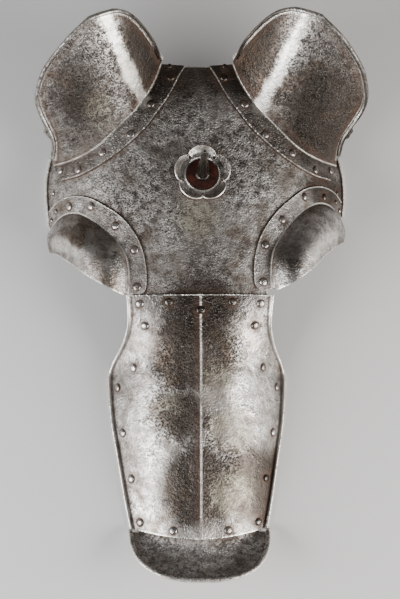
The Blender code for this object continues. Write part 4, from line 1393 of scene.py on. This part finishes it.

# %% [markdown]
# ## Where pits crowd, where patina is smooth and where shade is painted
#
# Rust does not pit a plate evenly. It starts where damp sat longest, and the armour shows crowded
# patches and smooth olive patches where a thick patina kept the damp out. Patches of painted shade,
# nearly black beside the keel, also darken the steel on the poll, in and round the ear guards, and on
# the brow, nasal and nose plates. A short table of patches with a place, a reach and a strength is
# enough for this. The shader breaks their borders up with noise, so that none of them shows as a circle.

# %% Patches: across and along from the joint, reach, strength
CROWDED = (
    (-0.016, -0.075, 0.034, 1.0), (0.020, -0.062, 0.032, 0.8), (-0.020, -0.140, 0.030, 0.7),
    (0.012, -0.182, 0.030, 0.8), (-0.006, -0.225, 0.030, 0.5), (-0.130, 0.225, 0.048, 0.9),
    (-0.105, 0.255, 0.030, 0.7), (0.140, 0.215, 0.050, 0.9), (0.120, 0.250, 0.034, 0.7),
    (-0.030, 0.200, 0.050, 0.5), (0.050, 0.150, 0.050, 0.6), (-0.060, 0.110, 0.050, 0.5),
    (0.000, -0.014, 0.045, 1.0),
)
OLIVE = (
    (0.035, -0.146, 0.028, 1.2), (0.016, -0.092, 0.022, 0.9), (0.034, -0.215, 0.030, 0.9),
    (-0.004, 0.086, 0.034, 0.8), (-0.034, -0.120, 0.022, 0.5), (-0.110, 0.205, 0.026, 0.6),
)
# Patches of painted shade, which darken the colour: across and along from the joint, reach, strength.
SHADED = (
    (-0.010, -0.060, 0.054, 1.2), (-0.018, -0.130, 0.040, 0.8), (-0.004, -0.210, 0.048, 1.2),
    (0.000, -0.016, 0.050, 0.9), (0.020, 0.255, 0.050, 0.7), (-0.020, 0.250, 0.050, 0.7),
    (-0.060, 0.235, 0.030, 0.9), (0.070, 0.235, 0.030, 0.6), (0.000, 0.030, 0.060, 0.35),
    (0.010, 0.075, 0.045, 0.30),
    (-0.050, 0.262, 0.046, 1.2), (0.052, 0.264, 0.046, 1.1), (-0.135, 0.215, 0.050, 0.5),
    (0.145, 0.200, 0.060, 0.8), (0.145, 0.125, 0.030, 0.8), (0.064, -0.205, 0.050, 1.1),
    (-0.128, 0.060, 0.034, 0.3), (0.095, 0.040, 0.034, 0.5), (0.000, -0.300, 0.060, 0.15),
)
SOFT_REACH = 1.25  # a patch has faded out at this many times its reach


def patch_strength(mesh, patches):
    """Strongest patch over each point, falling off softly to its reach."""
    flat = np.array([(point.co.x - HERE.x, point.co.y - HERE.y) for point in mesh.vertices])
    strength = np.zeros(len(flat))
    for x, y, reach, strong in patches:
        away = np.hypot(flat[:, 0] - x, flat[:, 1] - y) / reach
        strength = np.maximum(strength, strong * np.clip(SOFT_REACH - away, 0.0, 1.0))
    return strength


print("patches:", len(CROWDED), "crowded,", len(OLIVE), "olive and", len(SHADED), "shaded")

# %% [markdown]
# ## Writing the numbers on the points
#
# Each point of each piece now gets seven numbers. They are stored as attributes, which belong to the
# mesh, so the shader can read them by name and no picture has to be unwrapped and painted.

# %% Write every number
RIVET_FEET = points_tree([place for place, _ in rivet_places])
RIVET_HEADS = [head for _, head in rivet_places]


def rivet_ring(mesh):
    """Millimetres from the foot of the nearest rivet head, below 0 under it."""
    ring = []
    for point in mesh.vertices:
        _, number, away = RIVET_FEET.find(point.co)
        ring.append(min((away - RIVET_HEADS[number]) * TO_MM, FAR))
    return np.array(ring)


def numbers_of(piece):
    mesh = piece.data
    if piece.name in GUARDS:
        bright, dirty = guard_lines(piece)
    elif "plate" in piece.name:
        bright, dirty = long_plate_lines(piece)
    else:
        bright, dirty = distances(mesh, sharp_places(mesh)), np.full(len(mesh.vertices), FAR)
    rubbed = distances(mesh, highlight_line(piece) if piece.name in GUARDS else [])
    return {
        "rubbed": rubbed, "bright": bright, "dirty": dirty, "ring": rivet_ring(mesh),
        "crowded": patch_strength(mesh, CROWDED), "olive": patch_strength(mesh, OLIVE),
        "shaded": patch_strength(mesh, SHADED),
    }


for piece in PIECES:
    for name, numbers in numbers_of(piece).items():
        layer = piece.data.attributes.new(name, "FLOAT", "POINT")
        layer.data.foreach_set("value", np.asarray(numbers, np.float32))
print("distances and patches written on", len(PIECES), "pieces")

# %% [markdown]
# ## Sums of nodes that read like sums
#
# A shader is a graph of small nodes, and written node by node it is long and hard to follow. So a small
# class wraps an output. Adding or multiplying two such values makes the node for it, and the steel
# below can be read like a recipe.

# %% A short way to make nodes


def add_node(tree, kind, settings=(), **inputs):
    """A node with its settings and inputs. An input called i0 or i7 is found by its number."""
    node = tree.nodes.new(kind)
    for key, value in dict(settings).items():
        setattr(node, key, value)
    for key, value in inputs.items():
        socket = node.inputs[int(key[1:])] if re.fullmatch(r"i\d", key) else node.inputs[key]
        value = value.socket if isinstance(value, Value) else value
        if isinstance(value, bpy.types.NodeSocket):
            tree.links.new(value, socket)
        else:
            socket.default_value = value
    return node


class Value:
    """A number at every point of a piece. Working with it adds nodes to its tree."""

    def __init__(self, tree, socket):
        self.tree = tree
        self.socket = socket

    def work(self, operation, other):
        node = add_node(self.tree, "ShaderNodeMath", {"operation": operation}, i0=self, i1=other)
        return Value(self.tree, node.outputs[0])

    def __add__(self, other):
        return self.work("ADD", other)

    def __sub__(self, other):
        return self.work("SUBTRACT", other)

    def __mul__(self, other):
        return self.work("MULTIPLY", other)

    def larger(self, other):
        return self.work("MAXIMUM", other)

    def smaller(self, other):
        return self.work("MINIMUM", other)

    def span(self, low, high, to_low=0.0, to_high=1.0):
        """Goes softly from to_low to to_high while this value goes from low to high."""
        ends = {"From Min": low, "From Max": high, "To Min": to_low, "To Max": to_high}
        softly = {"interpolation_type": "SMOOTHSTEP"}
        node = add_node(self.tree, "ShaderNodeMapRange", softly, Value=self, **ends)
        return Value(self.tree, node.outputs["Result"])


print("values can be added, subtracted, multiplied and spanned")

# %% [markdown]
# ## Spots, coats and bumps
#
# The finishes below need few kinds of node: noise for clouds, cells for pits and wrinkles, the numbers
# on the points, coats of colour over each other, and a bump. Each gets one short function.

# %% Short names for the nodes in use


def noise(tree, where, scale, detail, rough, twist):
    inputs = {"Vector": where, "Scale": scale, "Detail": detail, "Roughness": rough, "Distortion": twist}
    return Value(tree, add_node(tree, "ShaderNodeTexNoise", **inputs).outputs["Fac"])


def cells(tree, where, scale, feature="F1"):
    node = add_node(tree, "ShaderNodeTexVoronoi", {"feature": feature}, Vector=where, Scale=scale)
    return Value(tree, node.outputs["Distance"])


def on_points(tree, name):
    return Value(tree, add_node(tree, "ShaderNodeAttribute", {"attribute_name": name}).outputs["Fac"])


def paint(tree, base, coats):
    """A base colour under coats. Each coat is the share that covers and the colour it has."""
    colour = (*base, 1.0)
    for share, coat in coats:
        mixed = add_node(tree, "ShaderNodeMix", {"data_type": "RGBA"}, i0=share, i6=colour, i7=(*coat, 1.0))
        colour = mixed.outputs[2]
    return colour


def bumpy(tree, height, strength, distance):
    bump = add_node(tree, "ShaderNodeBump", Height=height)
    bump.inputs["Strength"].default_value = strength
    bump.inputs["Distance"].default_value = distance
    return bump.outputs["Normal"]


def new_material(name):
    material = bpy.data.materials.new(name)
    material.use_nodes = True
    return material, material.node_tree, material.node_tree.nodes["Principled BSDF"]


print("node helpers ready")

# %% [markdown]
# ## The layers of old steel
#
# Forged steel that has been cleaned for centuries is grey in the open and brown in the pores. Its look
# comes from layers of different sizes: stains over a hand's breadth, clouds a finger wide, mottle of a
# few millimetres, and clusters of fine pits. Each layer is one noise of its own scale. Painting one
# picture would also work, but it would smear at some size, while noises stay crisp from near and far.

# %% Noises and colours
NOISES = {  # how many to a metre, detail, roughness and twist
    "broad": (11.0, 3.0, 0.5, 0.6), "tint": (18.0, 4.0, 0.6, 1.0), "cloud": (36.0, 6.0, 0.62, 0.4),
    "rare": (60.0, 4.0, 0.6, 0.0), "mottle": (125.0, 6.0, 0.68, 0.3), "grain": (420.0, 4.0, 0.7, 0.0),
}
FINE_CELLS = 430.0
DEEP_CELLS = 230.0
SEED_SHIFT = (1.7, 0.9, 2.3)
# The darkest colour also paints shade, the worn colour also paints the highlight stripe, and the rust
# colour also paints shade in creases, joints and round the rivets.
SHADE_AND_DARK_STEEL = (0.068, 0.054, 0.044)
MID_STEEL = (0.330, 0.292, 0.260)
PALE_STEEL = (0.82, 0.785, 0.750)
WORN_AND_HIGHLIGHT_STEEL = (0.92, 0.88, 0.81)
BROWN_PATINA = (0.150, 0.098, 0.062)
OLIVE_PATINA = (0.330, 0.300, 0.225)
PIT_COLOUR = (0.020, 0.015, 0.012)
RUST_AND_SHADE_COLOUR = (0.085, 0.040, 0.022)


def steel_layers(tree, seed):
    """Every noise, moved by the seed, so that no two finishes show the same spots."""
    here = add_node(tree, "ShaderNodeTexCoord").outputs["Object"]
    shift = tuple(seed * share for share in SEED_SHIFT)
    moved = add_node(tree, "ShaderNodeVectorMath", {"operation": "ADD"}, i0=here, i1=shift)
    where = moved.outputs["Vector"]
    steel = SimpleNamespace(**{name: noise(tree, where, *numbers) for name, numbers in NOISES.items()})
    steel.fine = cells(tree, where, FINE_CELLS)
    steel.deep = cells(tree, where, DEEP_CELLS)
    return steel


print("noises from", min(row[0] for row in NOISES.values()), "to", FINE_CELLS, "to a metre")

# %% [markdown]
# ## Pits, stains, wear and painted light
#
# The layers are cut off at two thresholds, which turns a soft noise into spots with a soft border.
# Where pits crowd, the spots grow together. The stripe of painted highlight on a guard loses its pits
# and its painted shade. Creases, joints and rivet feet hold rust, and shade is painted there as well,
# close by in full and further out in clouds.

# %% Marks on the steel


def rust_and_painted_light(tree, steel, pitting, spread, shade):
    """Shares from 0 to 1: painted highlight, crowded, pitted, speckled, olive and painted shade."""
    steel.rubbed = (on_points(tree, "rubbed") + steel.cloud * 14.0).span(19.0, 9.0)
    crowded = on_points(tree, "crowded") + steel.cloud * 1.6
    steel.crowd = crowded.span(0.66, 1.45, spread, 1.0) * steel.rubbed.span(0.0, 1.0, 1.0, 0.15)
    fine_pits = steel.fine.span(0.50, 0.24) * steel.crowd
    deep_pits = steel.deep.span(0.34, 0.14) * (steel.rare.span(0.50, 0.66) * steel.crowd)
    steel.pits = fine_pits.larger(deep_pits) * pitting
    steel.speckle = steel.mottle.span(0.56, 0.40) * steel.crowd.span(0.1, 0.9, 0.50, 1.0)
    steel.speck = steel.grain.span(0.52, 0.36) * steel.crowd.span(0.1, 0.9, 0.25, 0.9)
    steel.olive = on_points(tree, "olive").span(0.15, 0.75) * steel.cloud.span(0.34, 0.52)
    shaded = on_points(tree, "shaded") + steel.cloud + shade
    steel.shaded = shaded.span(0.50, 1.20) * steel.rubbed.span(0.0, 1.0, 1.0, 0.0)


def border_marks(tree, steel, worn_line, rust_shade_amount):
    """Shares from 0 to 1: rust with painted shade in the corners and round the rivets, and wear on the
    borders.
    """
    # Rust with painted shade along creases and joints, and a painted shadow round each rivet head.
    corner = on_points(tree, "dirty").smaller(on_points(tree, "ring"))
    wide = corner.span(9.0, 1.0) * steel.cloud.span(0.38, 0.62, 0.25, 1.0)
    steel.grime = corner.span(1.9, 0.5).larger(wide * 0.6) * rust_shade_amount
    border = on_points(tree, "bright").span(worn_line, 0.35 * worn_line)
    steel.worn = border * steel.cloud.span(0.30, 0.50, 0.35, 0.9)


print("marks ready")

# %% [markdown]
# ## The steel of each piece
#
# All the steel is one recipe, because it is one metal that has aged in one room. The marks share three
# jobs: they change the colour, the roughness and the height. What differs from plate to plate is how
# pale it is, how pitted and how smooth, and that is one row of a table.

# %% Old steel
BUMP_STRENGTH = 0.8
BUMP_DISTANCE = 0.0006
ROUGHEST, SMOOTHEST = 0.44, 0.30


def old_steel(name, seed, pale, pitting=1.0, smooth=0.0, worn_line=1.7, rust_shade_amount=1.0, shade=0.0, spread=0.15):
    material, tree, shader = new_material(name)
    steel = steel_layers(tree, seed)
    rust_and_painted_light(tree, steel, pitting, spread, shade)
    border_marks(tree, steel, worn_line, rust_shade_amount)
    not_pale = steel.broad.span(0.60 - 0.3 * pale, 0.85 - 0.3 * pale).span(0.0, 1.0, 0.75, 0.0)
    # Three coats paint light: the shaded coat is painted shade, the pale stripe on the guards is a painted
    # highlight, and the rust coat is partly painted shade.
    colour = paint(tree, MID_STEEL, (
        (steel.cloud.span(0.34, 0.62), PALE_STEEL), (not_pale, MID_STEEL),
        (steel.shaded * 0.95, SHADE_AND_DARK_STEEL),
        (steel.tint.span(0.55, 0.74, 0.0, 0.70), BROWN_PATINA), (steel.olive * 0.85, OLIVE_PATINA),
        (steel.rubbed * 0.9, WORN_AND_HIGHLIGHT_STEEL), (steel.speckle * 0.78, SHADE_AND_DARK_STEEL), (steel.speck, PIT_COLOUR),
        (steel.pits * 0.9, PIT_COLOUR), (steel.grime * 0.88, RUST_AND_SHADE_COLOUR), (steel.worn, WORN_AND_HIGHLIGHT_STEEL),
    ))
    metal = steel.pits.larger(steel.grime).span(0.0, 1.0, 1.0, 0.40)
    metal = metal * steel.olive.span(0.0, 1.0, 1.0, 0.55)
    rough = steel.cloud.span(0.25, 0.75, ROUGHEST - smooth, SMOOTHEST - smooth)
    rough += steel.pits * 0.25 + steel.grime * 0.25 + steel.speckle * 0.12
    rough = rough - steel.worn * 0.08 - steel.rubbed * 0.06
    height = steel.grain * 0.35 + steel.mottle * steel.crowd.span(0.0, 1.0, 0.5, 2.2)
    height = height - steel.pits + steel.cloud * 1.4
    tree.links.new(colour, shader.inputs["Base Color"])
    tree.links.new(metal.socket, shader.inputs["Metallic"])
    tree.links.new(rough.socket, shader.inputs["Roughness"])
    tree.links.new(bumpy(tree, height, BUMP_STRENGTH, BUMP_DISTANCE), shader.inputs["Normal"])
    return material


STEELS = {
    "plate": {"seed": 1.0, "pale": 1.3, "smooth": -0.12, "spread": 0.42},
    "ear": {"seed": 4.0, "pale": 0.9, "smooth": 0.02, "shade": 0.08, "spread": 0.4},
    "eye": {"seed": 7.0, "pale": 1.2, "pitting": 0.7, "smooth": -0.02, "spread": 0.3},
    "nasal": {"seed": 11.0, "pale": 1.0, "pitting": 0.9, "smooth": 0.04},
    "nose": {"seed": 15.0, "pale": 1.3, "smooth": -0.10, "spread": 0.5},
    "rivet": {"seed": 21.0, "pale": 1.3, "pitting": 0.15, "smooth": 0.10, "worn_line": 0.4, "rust_shade_amount": 0.0},
    "rosette": {"seed": 25.0, "pale": 1.3, "pitting": 0.6, "smooth": -0.06, "worn_line": 0.7, "rust_shade_amount": 0.3},
    "spike": {
        "seed": 31.0, "pale": 0.3, "pitting": 0.3, "smooth": 0.08,
        "worn_line": 0.25, "rust_shade_amount": 0.0, "shade": 0.55,
    },
}
FINISHES = {kind: old_steel(f"{kind}_steel", **numbers) for kind, numbers in STEELS.items()}
print("steel finishes:", ", ".join(FINISHES))

# %% [markdown]
# ## The red-brown disc
#
# The disc in the rosette is a washer of leather. Leather is not metal: it has hardly any gloss, and a
# fine grain of wrinkles, which the borders between small cells draw well.

# %% The leather
LEATHER_DARK = (0.016, 0.005, 0.003)
LEATHER_RED = (0.070, 0.016, 0.009)
WRINKLES = 900.0


def old_leather(name):
    material, tree, shader = new_material(name)
    where = add_node(tree, "ShaderNodeTexCoord").outputs["Object"]
    cloud = noise(tree, where, 120.0, 4.0, 0.6, 0.0)
    wrinkle = cells(tree, where, WRINKLES, "DISTANCE_TO_EDGE")
    coats = ((cloud.span(0.35, 0.65), LEATHER_RED), (wrinkle.span(0.10, 0.0, 0.0, 0.6), LEATHER_DARK))
    tree.links.new(paint(tree, LEATHER_DARK, coats), shader.inputs["Base Color"])
    shader.inputs["Roughness"].default_value = 0.85
    shader.inputs["Specular IOR Level"].default_value = 0.2
    tree.links.new(bumpy(tree, wrinkle.span(0.0, 0.12), 0.5, 0.0003), shader.inputs["Normal"])
    return material


FINISHES["disc"] = old_leather("disc_leather")
print("leather with", WRINKLES, "wrinkles to a metre")

# %% [markdown]
# ## Finishing each piece
#
# A piece takes the finish that its name starts with. The rivets come last, because their names start
# in many ways and all of them have one finish.

# %% Give each piece its finish
FINISH_OF = (
    ("ear_guard", "ear"), ("eye_guard", "eye"), ("brow_plate", "plate"), ("nasal_plate", "nasal"),
    ("nose_plate", "nose"), ("rosette_disc", "disc"), ("rosette", "rosette"), ("spike", "spike"),
    ("", "rivet"),
)
for piece in PIECES:
    finish = next(finish for start, finish in FINISH_OF if piece.name.startswith(start))
    piece.data.materials.clear()
    piece.data.materials.append(FINISHES[finish])
print({piece.name: piece.data.materials[0].name for piece in PIECES})

# %% [markdown]
# ## Floor
#
# The armour lies on its back on a plain pale floor. The floor is a stage, not a part of the armour, and
# a thin gap keeps the flat lips from flickering on it.

# %% The floor
FLOOR_SIZE = 6.0
FLOOR_GAP = 0.0002
FLOOR_COLOUR = (0.80, 0.79, 0.78, 1.0)


def build_floor():
    shape = bmesh.new()
    bmesh.ops.create_grid(shape, x_segments=1, y_segments=1, size=FLOOR_SIZE / 2)
    floor = start_piece("floor", shape)
    floor.location.z = -FLOOR_GAP
    material, _, shader = new_material("pale_floor")
    shader.inputs["Base Color"].default_value = FLOOR_COLOUR
    shader.inputs["Roughness"].default_value = 0.9
    floor.data.materials.append(material)


build_floor()
print("floor", FLOOR_SIZE, "m wide")

# %% [markdown]
# ## Camera
#
# The camera stands above the armour at the angle of the photograph: a little towards the nose end and a
# little to the left. A long lens from far away keeps the plates from bulging towards it.

# %% The camera
YAW = math.radians(4.5)
PITCH = math.radians(9.5)
ROLL = math.radians(-0.1)
CAMERA_AWAY = 3.66
PHOTO_HEIGHT = 599
METRES_PER_PIXEL = 0.0011
SENSOR = 36.0
LOOK_AT = Vector((KEEL_X - 0.0011, JOINT_Y - 0.0062, 0.0777))


def build_camera():
    back = Vector((-math.sin(YAW), -math.sin(PITCH) * math.cos(YAW), math.cos(YAW) * math.cos(PITCH)))
    back.normalize()
    right = Vector((math.cos(YAW), -math.sin(PITCH) * math.sin(YAW), math.cos(PITCH) * math.sin(YAW)))
    right = (right - back * right.dot(back)).normalized()
    above = back.cross(right)
    turned_right = right * math.cos(ROLL) + above * math.sin(ROLL)
    turned_above = above * math.cos(ROLL) - right * math.sin(ROLL)
    camera = bpy.data.objects.new("camera", bpy.data.cameras.new("camera"))
    bpy.context.scene.collection.objects.link(camera)
    camera.matrix_world = Matrix((turned_right, turned_above, back)).transposed().to_4x4()
    camera.location = LOOK_AT + back * CAMERA_AWAY
    camera.data.sensor_fit = "VERTICAL"
    camera.data.sensor_height = SENSOR
    camera.data.lens = SENSOR * CAMERA_AWAY / (PHOTO_HEIGHT * METRES_PER_PIXEL)
    camera.data.clip_end = 50.0
    bpy.context.scene.camera = camera
    print("lens", round(camera.data.lens), "mm at", round(CAMERA_AWAY, 2), "m")


build_camera()

# %% [markdown]
# ## Light
#
# Steel shows what it reflects. Two broad soft boxes stand at the sides, turned a little to the nose end.
# They draw the bright bands down the nasal plate, and weak soft light from all round keeps the rest
# readable. The stripes in the ear guards are partly their reflection and partly a highlight painted into
# the steel. The left box is a little cooler than the right one.

# %% The lights
AROUND = 0.17
TURNED_TO_NOSE = math.radians(28)
BOX_SIZE = (1.1, 0.85)
BOX_POWER = 39.0
BOX_HEIGHT = 0.64
LIGHT_AWAY = 1.5
LIGHT_AIM = (0.0, 0.0, 0.08)
COOL_LIGHT = (0.97, 0.985, 1.0)
WARM_LIGHT = (1.0, 0.985, 0.965)
ROOM_COLOUR = (1.0, 0.98, 0.96, 1.0)


def soft_box(name, place, colour):
    """A lit rectangle that faces its aim. Its first size lies level and its second one stands."""
    light = bpy.data.lights.new(name, "AREA")
    light.shape = "RECTANGLE"
    light.size, light.size_y = BOX_SIZE
    light.energy = BOX_POWER
    light.color = colour
    box = bpy.data.objects.new(name, light)
    bpy.context.scene.collection.objects.link(box)
    back = (Vector(place) - Vector(LIGHT_AIM)).normalized()
    level = Vector((0.0, 0.0, 1.0)).cross(back).normalized()
    box.matrix_world = Matrix((level, back.cross(level), back)).transposed().to_4x4()
    box.location = place


aside = LIGHT_AWAY * math.cos(TURNED_TO_NOSE)
towards_nose = -LIGHT_AWAY * math.sin(TURNED_TO_NOSE)
soft_box("left_soft_box", (-aside, towards_nose, BOX_HEIGHT), COOL_LIGHT)
soft_box("right_soft_box", (aside, towards_nose, BOX_HEIGHT), WARM_LIGHT)
world = bpy.data.worlds.new("soft_room")
bpy.context.scene.world = world
world.use_nodes = True
world.node_tree.nodes["Background"].inputs["Color"].default_value = ROOM_COLOUR
world.node_tree.nodes["Background"].inputs["Strength"].default_value = AROUND
